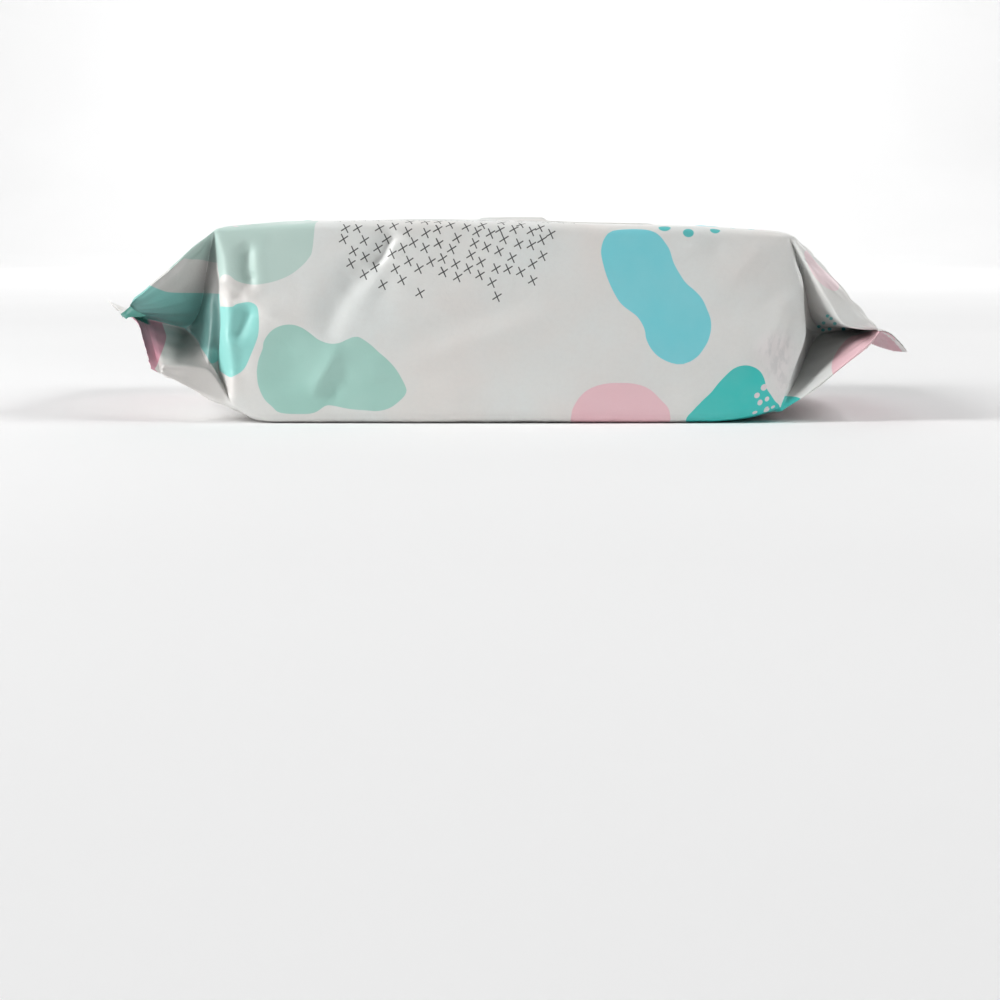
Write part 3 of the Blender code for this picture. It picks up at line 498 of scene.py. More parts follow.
# Folds of the front long side: picture line, height in mm (negative goes in), half width in mm, and how
# pointed the fold is (2 is a soft wave, 1 a crease).
FOLDS = [
    ([(249, 239), (245.2, 256), (246, 270), (253, 292)], -1.90, 1.9, 1.4),
    ([(256, 243), (257, 262), (259, 297)], 0.50, 2.0, 1.6),
    ([(217, 283), (228, 281), (242, 290)], 1.15, 1.8, 1.3),
    ([(246, 294), (234, 297), (224, 304)], -1.05, 1.7, 1.4),
    ([(230.6, 306), (230.8, 341), (233.6, 362), (235, 378), (234, 404)], 0.35, 1.6, 1.3),
    ([(252, 301), (242, 324), (231, 344)], -1.85, 2.3, 1.3),
    ([(238, 345), (240, 360), (235, 378)], -0.45, 2.6, 2.0),
    ([(391, 222), (389.3, 240), (382, 254), (368, 270)], -2.30, 2.0, 1.3),
    ([(386, 248), (368, 269.6), (353, 283), (336, 307), (328, 328), (325, 352)], -1.60, 4.8, 1.6),
    ([(398, 223), (395.4, 240), (387, 260)], 0.85, 1.8, 1.3),
    ([(391, 250), (377, 279), (360, 300)], 0.60, 2.7, 1.4),
    ([(370, 286), (352, 313), (338, 344)], 0.50, 4.2, 1.8),
    ([(352, 276), (341, 290)], -0.35, 2.2, 1.6),
    ([(401, 250), (384, 292), (366, 322)], -0.35, 3.2, 2.0),
    ([(390, 370), (470, 340), (560, 310)], 0.42, 4.2, 1.6),
    ([(395, 352), (470, 322), (550, 296)], -0.32, 4.2, 2.0),
    ([(340, 342), (328, 366), (310, 399)], 0.95, 2.5, 1.3),
    ([(278, 326), (286, 356), (292, 396)], -0.70, 6.5, 2.0),
    ([(352, 366), (338, 386), (322, 408)], -0.60, 2.8, 1.5),
    ([(330, 380), (336, 400)], -0.45, 1.4, 1.4),
    ([(372, 352), (380, 384)], 0.25, 3.6, 2.0),
    ([(272, 300), (268, 322)], 0.30, 3.0, 2.0),
    ([(788, 305), (776, 329), (767, 360)], 0.70, 3.2, 1.3),
    ([(797, 300), (788, 330), (780, 358)], -0.45, 2.6, 1.6),
    ([(752, 258), (778, 284), (788, 304)], -0.85, 7.0, 2.0),
    ([(700, 240), (760, 250)], -0.28, 5.0, 2.0),
    ([(688, 243), (690, 258)], 0.28, 1.6, 1.4),
    ([(720, 238), (716, 262)], -0.25, 2.0, 1.6),
    ([(600, 400), (690, 396)], -0.18, 4.0, 2.0),
    ([(560, 228), (566, 262)], -0.22, 3.0, 2.0),
    ([(430, 372), (470, 420)], 0.22, 2.2, 1.6),
    ([(470, 226), (462, 262)], -0.20, 3.4, 2.0),
]


# ------------------------------------------------------------------------------------------------
# Relief of the film
# ------------------------------------------------------------------------------------------------
def relax(grid, weight, passes):
    """Softens creases: each point moves part of the way to the mean of its neighbours."""
    for _ in range(passes):
        around = (np.roll(grid, 1, 1) + np.roll(grid, -1, 1)) / 2
        over = grid.copy()
        over[1:-1] = (grid[2:] + grid[:-2]) / 2
        grid = grid + ((around + over) / 2 - grid) * weight[..., None] * 0.6
    return grid


def normals_of(grid):
    du = np.gradient(grid, axis=0)
    dv = np.roll(grid, -1, 1) - np.roll(grid, 1, 1)
    n = np.cross(du, dv)
    return n / np.maximum(np.linalg.norm(n, axis=-1, keepdims=True), 1e-9)


def waves(u, v, seed, count, shortest, longest, stretch=1.0):
    """Smooth seeded unevenness of about unit height."""
    rng = np.random.default_rng(seed)
    out = np.zeros_like(u)
    for _ in range(count):
        length = math.exp(rng.uniform(math.log(shortest), math.log(longest)))
        a, phase = rng.uniform(0, 2 * math.pi), rng.uniform(0, 2 * math.pi)
        out += np.sin(2 * math.pi * (u * math.cos(a) / stretch + v * math.sin(a)) / length + phase)
    return out / math.sqrt(count)


def top_relief(x, y):
    """Unevenness of the top panel, which the label follows."""
    return 0.16 * waves(x, y, 5, 9, 22.0, 60.0)


def fan(u, v, at, angles, reach, high, sharp=2.0):
    """Tension folds that run out from a corner at the given angles."""
    out = np.zeros_like(u)
    dx, dy = u - at[0], v - at[1]
    r = np.hypot(dx, dy)
    for angle, scale, size in angles:
        t = math.radians(angle)
        side = -dx * math.sin(t) + dy * math.cos(t)
        along = dx * math.cos(t) + dy * math.sin(t)
        width = 0.7 + 0.10 * np.maximum(along, 0)
        body = np.clip(along / 3.0, 0, 1) * np.clip(1 - along / (reach * size), 0, 1) ** 1.3
        out += scale * high * np.exp(-(side / width) ** sharp) * body * (r > 0)
    return out


def smoothstep(x, a, b):
    t = np.clip((x - a) / (b - a), 0, 1)
    return t * t * (3 - 2 * t)


def relief(grid, film, beyond, front_side):
    """Height of the film's folds over the plain form, along the outward normal."""
    u, v = film[..., 0], film[..., 1]
    past = np.abs(beyond)[:, None] + 0 * v
    on_body = 1 - smoothstep(past, 0.0, 3.0)
    front, top = (v > -1) & (v < 54), (v > 50) & (v < 156)
    back, under = (v > 153) & (v < 208), (v < 0) | (v > 206)
    out = 0.10 * waves(u, v, 3, 12, 14.0, 46.0, 1.6)
    out += 0.035 * waves(u, v, 11, 14, 5.0, 12.0, 1.4)
    for line, high, wide, power in FOLDS:
        d, place = line_distance(film, front_side.film_at(line))
        taper = smoothstep(np.minimum(place, 1 - place), -0.02, 0.30)
        out += high * np.exp(-(d / wide) ** power) * taper * ((v > -8) & (v < 60))
    # the other long side: the same sort of folds, in other places
    for line, high, wide in [
        ([(-62, 202), (-58, 186), (-60, 166)], -1.5, 2.0), ([(-66, 198), (-66, 172)], 0.8, 2.2),
        ([(62, 204), (54, 186), (45, 168)], -1.3, 2.4), ([(67, 178), (57, 160)], 0.8, 2.4),
        ([(14, 155), (6, 170), (-12, 194)], -1.2, 3.2), ([(21, 156), (13, 174), (-3, 198)], 0.8, 3.0),
        ([(-32, 204), (-20, 186)], -0.7, 2.0), ([(36, 203), (25, 186)], -0.7, 1.9), ([(-20, 160), (-34, 176)], 0.5, 2.6),
    ]:
        d, place = line_distance(film, line)
        out += high * np.exp(-(d / wide) ** 1.5) * smoothstep(np.minimum(place, 1 - place), -0.02, 0.3) * back
    # tension folds from the corners of the body over the top and the bottom
    for x, s in ((-76.5, 1), (77.5, -1)):
        spread = [(18, 1, 1.0), (34, -0.8, 0.8), (55, 0.9, 0.9), (8, -0.7, 1.2)]
        a = [((k if s > 0 else 180 - k), g, z) for k, g, z in spread]
        b = [((-k if s > 0 else 180 + k), g, z) for k, g, z in spread]
        out += fan(u, v, (x, HEIGHT), a, 38, 0.62) * top * on_body
        out += fan(u, v, (x, HEIGHT + WIDTH), b, 38, 0.62) * top * on_body
        out += fan(u, v, (x, 0.0), b, 26, 0.5) * (v < 0)
        out += fan(u, v, (x, 2 * HEIGHT + WIDTH), a, 26, 0.5) * (v > 206)
        out += fan(u, v, (x, HEIGHT + WIDTH), a, 22, 0.45) * back
        out += fan(u, v, (x, 2 * HEIGHT + WIDTH), b, 24, 0.5) * back
    for line, high, wide in [
        ([(-74, 72), (-64, 92), (-58, 116)], -0.9, 2.6), ([(-70, 140), (-60, 124), (-56, 104)], 0.7, 3.0),
        ([(-66, 152), (-48, 146), (-26, 148)], -0.7, 2.6), ([(74, 76), (62, 92), (58, 112)], -0.9, 2.8),
        ([(74, 138), (62, 124), (57, 106)], 0.7, 3.0), ([(68, 152), (46, 145), (24, 147)], -0.7, 2.4), ([(72, 104), (56, 100)], -0.5, 2.2),
    ]:
        d, place = line_distance(film, line)
        out += high * np.exp(-(d / wide) ** 1.6) * smoothstep(np.minimum(place, 1 - place), -0.02, 0.4) * top * on_body
    # the label holds the film flat under it
    held = np.maximum(np.abs(u - LABEL_X - CENTRE_X) - LABEL_LENGTH / 2, np.abs(v - HEIGHT - PANEL - LABEL_Y) - LABEL_WIDTH / 2 - 1)
    out *= smoothstep(held, 0.0, 5.0) * top + (1 - top)
    # the top panel away from its edges
    out += 0.5 * top_relief(u, v - HEIGHT - PANEL) * top * on_body
    # puckers that run out of the two seals, over the flaps and a little onto the body
    for sign, seed in ((-1, 21), (1, 22)):
        there = (np.sign(beyond)[:, None] == sign) * smoothstep(past, 0.0, FLAP * 0.95) ** 1.2
        rng = np.random.default_rng(seed)
        puck = np.zeros_like(u)
        for length in (4.6, 6.3, 9.1, 14.0):
            puck += rng.uniform(0.6, 1.0) * np.sin(2 * math.pi * v / length + rng.uniform(0, 6.28) + 0.03 * past * rng.uniform(-1, 1))
        panels = (top | under).astype(float)
        out += 0.30 * puck * there * (0.35 + 0.65 * panels) * (past < FLAP) * (1 - smoothstep(past, FLAP - 2.5, FLAP))
    # long soft folds across the flaps
    out += 0.46 * waves(u, v, 31, 7, 14.0, 34.0, 0.7) * smoothstep(past, 1, 10) * (1 - smoothstep(past, FLAP - 9, FLAP - 1)) * (top | under)
    return out


def ribs(past):
    """Crimped lines of a seal, parallel to its cut edge."""
    f = (past - FLAP) / FIN
    live = smoothstep(f, 0.02, 0.10) * (1 - smoothstep(f, 0.93, 1.0))
    return 0.11 * np.sin(2 * math.pi * (past - FLAP) / 1.12) * live


def pouch():
    grid, film_u, v_of, beyond = pouch_grid()
    rows, cols = grid.shape[:2]
    grid[..., 0] += CENTRE_X
    film = np.stack([film_u + CENTRE_X, np.broadcast_to(v_of, (rows, cols))], axis=-1)
    past = np.abs(beyond)
    in_fin = smoothstep(past, FLAP - 1.6, FLAP + 0.2)
    grid = relax(grid, np.broadcast_to((1 - in_fin)[:, None], (rows, cols)), 1)

    # a toothed cut edge: the last rows draw back by turns
    for end in (0, 1):
        order = range(rows) if end == 0 else range(rows - 1, -1, -1)
        order = list(order)[:FIN_ROWS]
        out = grid[order[0]] - grid[order[5]]
        out /= np.maximum(np.linalg.norm(out, axis=1, keepdims=True), 1e-9)
        seat = np.abs(grid[order[0], :, 1])
        tooth = np.abs(((seat / 2.5) % 1.0) - 0.5) * 2.0
        for k, r in enumerate(order[:4]):
            grid[r] -= out * (tooth * 0.75 * (1 - k / 4.0))[:, None]

    inner = (past < 0.01)
    first, last = np.where(inner)[0][[0, -1]]
    side = slice(N_LOW - 4, N_LOW + N_FRONT + 9)
    front_side = FrontSide(grid[first:last + 1, side], film[first:last + 1, side])
    line = front_side.film_at(TURN)
    line = line[np.argsort(line[:, 1])]
    turn = np.interp(film[..., 1], line[:, 1], line[:, 0])
    reach = np.maximum(turn - np.maximum(film[..., 0], film[first, :, 0]), 0.0) * (film[..., 0] < 0)
    reach = (reach - 0.5 * (1 - np.exp(-reach / 0.5))) * smoothstep(film[..., 1], 0.0, 7.0) * (film[..., 1] < HEIGHT + 0.01)
    grid[..., 1] += 1.02 * reach * (1 - smoothstep(past, 0.0, 9.0))[:, None]
    rise = relief(grid, film, beyond, front_side) * (1 - in_fin)[:, None]
    grid = grid + normals_of(grid) * rise[..., None]
    crimp = ribs(past)[:, None] * np.where(in_fin > 0.5, 1.0, 0.0)[:, None]
    curled = smoothstep(-grid[..., 1], 22.0, 34.0) * (beyond < 0)[:, None]
    crimp = crimp * (1 - 0.85 * curled)
    upward = np.array([0.0, 0.0, 1.0])
    grid = grid + crimp[..., None] * upward
    grid = relax(grid, np.broadcast_to((1 - in_fin)[:, None], (rows, cols)) * 0.5, 1)

    # the lengthwise seam: a flat strip folded over to one side under the pack
    under = np.minimum(np.abs(film[..., 1] + PANEL), np.abs(film[..., 1] - 2 * HEIGHT - WIDTH - PANEL))
    strip = 1 - smoothstep(under, 6.4, 7.0)
    flat = 1 - smoothstep(past, 0.0, 22.0)
    base = 0.45 * (1 - strip) * (1 - smoothstep(under, 30.0, 44.0))
    grid[..., 2] += base * flat[:, None] * (under < PANEL) * (grid[..., 2] < 8)
    grid[..., 2] = np.maximum(grid[..., 2], 0.0)
    return grid, film, beyond, FrontSide(grid[first:last + 1, side], film[first:last + 1, side])


def zip_strips(a, b):
    """Triangles between two vertex lines that start at the same corner."""
    i, j, out = 0, 0, []
    while i < len(a) - 1 or j < len(b) - 1:
        go_a = i < len(a) - 1 and (j == len(b) - 1 or (i + 1) / (len(a) - 1) <= (j + 1) / (len(b) - 1))
        if go_a:
            if len({a[i], a[i + 1], b[j]}) == 3:
                out.append([a[i], a[i + 1], b[j]])
            i += 1
        else:
            if len({a[i], b[j + 1], b[j]}) == 3:
                out.append([a[i], b[j + 1], b[j]])
            j += 1
    return out


def cap(start, count, flip):
    """Closes a seal's cut edge, layer pair by layer pair."""
    def half_cap(place, n_side):
        low, top = N_LOW, N_LOW + n_side
        pleat = low + n_side // 2
        lower = zip_strips([place(low - k) for k in range(N_LOW // 2 + 1)], [place(low + k) for k in range(0, n_side // 2 + 1)])
        upper = zip_strips([place(top - k) for k in range(0, n_side // 2 + 1)], [place(top + k) for k in range(N_TOP // 2 + 1)])
        middle = [[place(low - N_LOW // 2), place(top + N_TOP // 2), place(pleat)]]
        for k in range(N_LOW // 2):
            p, q = low - N_LOW // 2 - k, top + N_TOP // 2 + k
            middle.append([place(p), place(p - 1), place(q + 1), place(q)])
        return lower + upper + middle

    faces = half_cap(lambda k: start + k % count, N_FRONT)
    back = half_cap(lambda k: start + (count - k) % count, N_BACK)
    faces += [f[::-1] for f in back]
    return [f[::-1] for f in faces] if flip else faces


# ------------------------------------------------------------------------------------------------
# Print, laid on the film
# ------------------------------------------------------------------------------------------------
def film_shapes(front_side):
    """(outline in film coordinates, ink) for the whole pack apart from the folded-in front ends."""
    at = front_side.film_at
    corner = at(CORNER_BLOB)
    over = corner[0]
    corner = np.concatenate([corner[1:], [(-82, 26), (-92, 34), (-96, 52), (-90, 66), (-74, 76), (-58, 78),
                                          (over[0] - 2, 70), (over[0] + 1.5, 60)]])
    g = 2 * HEIGHT + WIDTH
    kidney, wide_blob, dome, mound = at(KIDNEY), at(WIDE_BLOB), at(DOME), at(MOUND)
    return [
        (rounded(corner), PALE_MINT),
        (rounded(at(SIDE_BLOB)), TEAL),
        (rounded(wide_blob), SOFT_MINT),
        (rounded(kidney), SKY),
        (rounded(np.concatenate([dome, [(18.6, -2), (21, -7), (32, -9), (43, -7), (45.4, -2)]])), ROSE),
        (rounded(np.concatenate([mound, [(77, -4), (70, -10), (56, -9), (50.5, -4)]])), SEA),
        # top panel
        (rounded(moved(wide_blob, -60, 120, 64, 0.8)), SOFT_MINT), (bean(-56, 149, 13, 7, -12, 0.2), SKY),
        (rounded(moved(kidney, 62, 121, -18, 0.85)), SKY), (bean(68, 94, 9, 6, -15), ROSE), (bean(55, 151, 11, 6, 10), SEA),
        (bean(2, 150, 14, 6, 4, 0.2), ROSE),
        # the other long side
        (rounded(moved(kidney, -44, 181, 12)), SKY), (rounded(moved(wide_blob, 40, 178, 186)), SOFT_MINT),
        (rounded(moved(mound, 74, 198, 170, 0.9)), SEA), (bean(6, 205, 15, 12, 0), ROSE), (bean(-74, 168, 11, 8, 20), PALE_MINT),
        (bean(-72, 202, 12, 9, -20, 0.2), TEAL),
        # underside, to both sides of the seam
        (bean(-40, -28, 15, 8, 14, 0.2), PALE_MINT), (bean(12, -26, 10, 7, -20), ROSE), (bean(52, -33, 12, 8, 20), SKY),
        (bean(-48, g + 26, 10, 8, 20), SEA), (bean(6, g + 30, 16, 8, -10, 0.22), SOFT_MINT), (bean(56, g + 24, 11, 8, 0), ROSE),
        # ends of the top panel and of the underside, beside the seals
        (bean(108, 100, 13, 20, 0, 0.0), ROSE), (bean(-106, 128, 11, 17, 0, 0.0), TEAL), (bean(-98, 92, 8, 6, 10), ROSE),
        (bean(-114, -12, 12, 12, 0), MAUVE), (bean(119, -32, 17, 24, 0), MAUVE),
        (bean(-118, g + 34, 16, 21, 0), MAUVE), (bean(119, g + 32, 17, 24, 0), MAUVE),
        (bean(102, 172, 9, 11, 0), TEAL), (bean(-104, 178, 10, 9, 0), PALE_MINT),
    ]


# Shapes of the folded-in front ends, as picture positions: outline, ink (the darkened teal is painted shade, not an
# ink), lowest and highest side distance.
END_SHAPES = {
    -1: [([(186, 258.5), (200, 259.5), (221, 262), (232, 245), (225, 215), (190, 215), (160, 250)], PALE_MINT, 20, 52.8),
         ([(112, 288), (138, 283.5), (151, 286), (160, 289.6), (173, 292.6), (216, 293.6), (226, 300), (228, 345), (213, 363.6),
           (204, 352), (186, 331), (170, 335), (120, 330)], TEAL, 5, 54.4),
         ([(117, 303), (128, 301), (140, 303), (158, 312), (160, 324), (120, 324)], PAINTED_SHADE_TEAL, 24, 60),
         ([(118, 317), (135, 314), (156, 314), (164.8, 331), (165.8, 340), (159.5, 358), (154.6, 369), (140, 380), (118, 350)], MAUVE, -32, 25.9)],
    1: [([(804, 252), (818, 255), (838, 282), (836, 291), (824, 286), (812, 273)], BLUSH, 34, 52.8),
        ([(775, 398), (797, 397), (802, 404), (796, 414), (778, 424), (768, 414)], SEA, -4, 20),
        ([(832, 362), (846, 340), (866, 332), (892, 330), (892, 350), (868, 352), (850, 374), (836, 380)], ROSE, -6, 17)],
}


def painted_fold_shade(grid, film, beyond):
    """Painted shade for the folded-in ends: 0 on the outside of the pack, rising to 1 at the bottom of the folded-in
    ends.
    """
    v = film[..., 1]
    past = np.abs(beyond)[:, None] + 0 * v
    side = np.where(v > HEIGHT + PANEL, 2 * HEIGHT + WIDTH - v, v)
    inside = (side > 0.01) & (side < HEIGHT - 0.01) & (past > 0.01) & (past < FLAP)
    low, high = np.minimum(past, HALF - 0.5), np.maximum(HEIGHT - past, HALF + 0.5)
    part = np.where(side < HALF, side / np.maximum(low, 0.1), (HEIGHT - side) / np.maximum(HEIGHT - high, 0.1))
    deep = np.clip((48.0 - np.abs(grid[..., 1])) / 20.0, 0, 1)
    left, upper = (beyond < 0)[:, None] & (v < HEIGHT + PANEL), side >= HALF
    lip = smoothstep(part, 0.33, 0.42) * smoothstep(past, 0.5, 5.0)
    wall = smoothstep(part, 0.98, 1.04) * smoothstep(past, 0.2, 1.6)
    open_facet = (0.27 + 0.30 * smoothstep(part, 0.35, 1.0)) * smoothstep(past, 0.5, 5.0) * (part < 1.0)
    near_seal = 1 - 0.8 * smoothstep(past, 25.0, 32.0)
    left_dark = np.where(upper, open_facet, 0.30 * (1 - lip) * smoothstep(past, 2.0, 6.0) + lip * (0.56 + 0.34 * deep) * near_seal)
    left_dark = np.maximum(left_dark, wall * (0.80 + 0.20 * deep) * smoothstep(side, 12.5, 17.0))
    right_dark = np.maximum(lip * np.where(upper, 0.08 + 0.26 * deep, 0.44 + 0.26 * deep), wall * (0.03 + 0.55 * deep**2))
    dark = np.where(left, left_dark, right_dark)
    return np.where(inside, np.clip(dark, 0, 1), 0.0)


def lay_print(grid, film, beyond, front_side):
    """Distance to the nearest shape's border (negative inside), that shape's ink, and the pale patch."""
    rows, cols = grid.shape[:2]
    edge, ink = np.full((rows, cols), 99.0), np.tile(PALE_MINT, (rows, cols, 1))
    v = film[..., 1]
    side = (v > 0.01) & (v < HEIGHT - 0.01)
    folded = side & (np.abs(beyond)[:, None] > 0.01)

    def lay(d, colour):
        closer = d < edge
        edge[closer] = d[closer]
        ink[closer] = colour

    for outline, colour in film_shapes(front_side):
        d = signed_distance(film, outline)
        lay(np.where(folded, 99.0, d), colour)
    seen = to_picture(grid)
    for sign, shapes in END_SHAPES.items():
        for outline, colour, low, high in shapes:
            d = signed_distance(seen, rounded(outline), 40.0) * 0.272
            here = (np.sign(beyond)[:, None] == sign) & (v >= low) & (v <= high)
            if colour is TEAL:
                here &= v >= np.minimum(np.abs(beyond), HALF)[:, None]
            if colour is PAINTED_SHADE_TEAL:  # painted shade: the darkened teal goes on the seal only, over the shape around it
                here &= np.abs(beyond)[:, None] > FLAP - 0.5
                d = np.where(d < 0, d - 40.0, d)
            lay(np.where(here, d, 99.0), colour)
    patch = signed_distance(film, rounded(front_side.film_at(PALE_PATCH)), 14.0)
    other = signed_distance(film, bean(-82, 190, 8, 12, 0), 14.0)
    return edge, ink, np.clip(np.minimum(patch, other), -20, 20)


def scatter(outline, pitch, seed, jitter):
    rng = np.random.default_rng(seed)
    low, high = outline.min(0), outline.max(0)
    out = []
    for i, y in enumerate(np.arange(low[1], high[1], pitch * 0.9)):
        for x in np.arange(low[0] + (i % 2) * pitch / 2, high[0], pitch):
            out.append((x + rng.uniform(-jitter, jitter), y + rng.uniform(-jitter, jitter)))
    out = np.array(out)
    return out[signed_distance(out, outline, 99.0) < 0]


def motifs(front_side):
    """Film positions of the crosses, and of the dots as (u, v, radius u, radius v, kind)."""
    crosses = front_side.film_at(CROSSES)
    low_top = np.array([(-42, 53.8), (14, 53.8), (19, 62), (10, 72), (-8, 77), (-28, 73), (-40, 64)], float)
    crosses = np.concatenate([
        crosses, scatter(rounded(low_top), 3.5, 4, 0.55), scatter(bean(34, 142, 20, 9, -6), 3.5, 6, 0.55),
        scatter(bean(-12, 170, 22, 13, 8), 3.5, 8, 0.55), scatter(bean(22, -24, 9, 8, 0), 3.5, 9, 0.5),
        scatter(bean(-20, 236, 9, 7, 0), 3.5, 12, 0.5)])
    kept = []
    for p in crosses:
        if all(np.hypot(*(p - q)) > 2.5 for q in kept):
            kept.append(p)
    crosses = np.array(kept)
    scale = 0.272
    dots = []
    for x, y, rx, ry, kind in FRONT_DOTS:
        u, v = front_side.film_at([(x, y)])[0]
        dots.append((u, v, rx * scale, ry * scale, kind))
    rng = np.random.default_rng(17)
    for cu, cv, n, spread, kind in ((62, 66, 11, 9, 0), (-40, 138, 10, 9, 0), (-74, 60, 5, 5, 1), (60, 150, 8, 6, 1),
                                    (-68, 200, 8, 6, 1), (34, 176, 9, 8, 0), (-2, -30, 8, 8, 0), (58, 238, 7, 7, 0)):
        placed = []
        for _ in range(200):
            p = np.array([cu, cv]) + rng.uniform(-spread, spread, 2)
            if len(placed) < n and all(np.hypot(*(p - q)) > 3.6 for q in placed):
                placed.append(p)
                dots.append((*p, rng.uniform(0.7, 1.4), rng.uniform(0.7, 1.4), kind))
    return crosses, np.array(dots)


def nearest_offsets(centres, corners, places, count):
    """For each face, the offsets of its corners from the nearest places: one array per place."""
    out = [np.full(corners.shape, 99.0) for _ in range(count)]
    index = np.full((len(centres), count), -1)
    for start in range(0, len(centres), 8192):
        part = centres[start:start + 8192]
        d = ((part[:, None] - places[None, :, :2]) ** 2).sum(-1)
        index[start:start + 8192] = np.argsort(d, axis=1)[:, :count]
    for k in range(count):
        out[k] = corners - places[index[:, k], :2][:, None]
    return out, index


def build_mesh(name, points, quads, extra, finish, sharp=None):
    mesh = bpy.data.meshes.new(name)
    mesh.from_pydata((np.asarray(points) * MM).tolist(), [], [*quads.tolist(), *extra])
    mesh.update()
    mesh.shade_smooth()
    if sharp:
        mesh.set_sharp_from_angle(angle=math.radians(sharp))
    mesh.materials.append(finish)
    made = bpy.data.objects.new(name, mesh)
    bpy.context.scene.collection.objects.link(made)
    return made


def put(mesh, name, kind, domain, values):
    layer = mesh.attributes.new(name, kind, domain)
    values = np.ascontiguousarray(values, np.float32).ravel()
    layer.data.foreach_set({"FLOAT": "value", "FLOAT_VECTOR": "vector", "FLOAT_COLOR": "color"}[kind], values)


def make_pouch(finish):
    grid, film, beyond, front_side = pouch()
    rows, cols = grid.shape[:2]
    r, c = np.meshgrid(np.arange(rows - 1), np.arange(cols), indexing="ij")
    d = (c + 1) % cols
    quads = np.stack([r * cols + c, (r + 1) * cols + c, (r + 1) * cols + d, r * cols + d], axis=-1).reshape(-1, 4)
    caps = cap(0, cols, True) + cap((rows - 1) * cols, cols, False)
    # quads of the folded-in ends are split along the creases
    mid_v, mid_past = (film[:-1, :, 1] + 0 * r).reshape(-1), ((beyond[:-1] + beyond[1:]) / 2)[r].reshape(-1)
    on_back = mid_v > HEIGHT + PANEL
    lower = np.where(on_back, 2 * HEIGHT + WIDTH - mid_v, mid_v + 0.01) < HALF
    turned = (np.abs(mid_past) > 0.01) & (lower ^ (mid_past > 0) ^ on_back)

    def split(table):
        table = table.copy()
        table[turned] = np.roll(table[turned], -1, axis=1)
        return table

    made = build_mesh("printed_pouch", grid.reshape(-1, 3), split(quads), caps, finish, 62.0)
    mesh = made.data
    mesh.polygons.foreach_set("use_smooth", [True] * len(quads) + [False] * len(caps))
    edge, ink, patch = lay_print(grid, film, beyond, front_side)
    put(mesh, "edge", "FLOAT", "POINT", edge)
    put(mesh, "patch", "FLOAT", "POINT", patch)
    # the depth attribute holds the painted shade of the folded-in ends, which darkens the film colour there
    put(mesh, "depth", "FLOAT", "POINT", painted_fold_shade(grid, film, beyond))
    put(mesh, "ink", "FLOAT_COLOR", "POINT", np.concatenate([ink, np.ones((rows, cols, 1))], axis=-1))

    flat = film.reshape(-1, 2)
    corners = flat[quads].copy()
    wrapped = (c.reshape(-1) == cols - 1)
    corners[wrapped, 2:, 1] += 2 * HEIGHT + 2 * WIDTH
    centres = corners.mean(1)
    crosses, dots = motifs(front_side)
    (a, b), _ = nearest_offsets(centres, corners, crosses, 2)
    loops = sum(len(p) for p in caps)

    def as_vectors(pairs, third=None):
        pairs = split(pairs)
        third = np.zeros(pairs.shape[:2]) if third is None else np.broadcast_to(third[:, None], pairs.shape[:2])
        full = np.concatenate([pairs, third[..., None]], axis=-1).reshape(-1, 3)
        return np.concatenate([full, np.full((loops, 3), 99.0)])

    hide = (np.abs(np.repeat(beyond[:-1, None], cols, 1)).reshape(-1) > 0.01) & (centres[:, 1] > 0) & (centres[:, 1] < HEIGHT)
    a[hide], b[hide] = 99.0, 99.0
    put(mesh, "cross_a", "FLOAT_VECTOR", "CORNER", as_vectors(a))
    put(mesh, "cross_b", "FLOAT_VECTOR", "CORNER", as_vectors(b))

    # dots: on the folded-in right end they are placed by the picture, elsewhere by the film
    (near,), index = nearest_offsets(centres, corners, dots, 1)
    chosen = dots[index[:, 0]]
    near = near / chosen[:, None, 2:4]
    kind = chosen[:, 4].copy()
    seen = to_picture(grid).reshape(-1, 2)[quads]
    inner = np.array(INNER_DOTS, float)
    (close,), _ = nearest_offsets(seen.mean(1), seen, inner, 1)
    right = hide & (np.repeat(beyond[:-1, None], cols, 1).reshape(-1) > 0)
    near[hide] = 99.0
    near[right] = close[right] / np.array([1.9, 1.6])
    kind[right] = 0
    put(mesh, "dot", "FLOAT_VECTOR", "CORNER", as_vectors(near, kind))
    return made


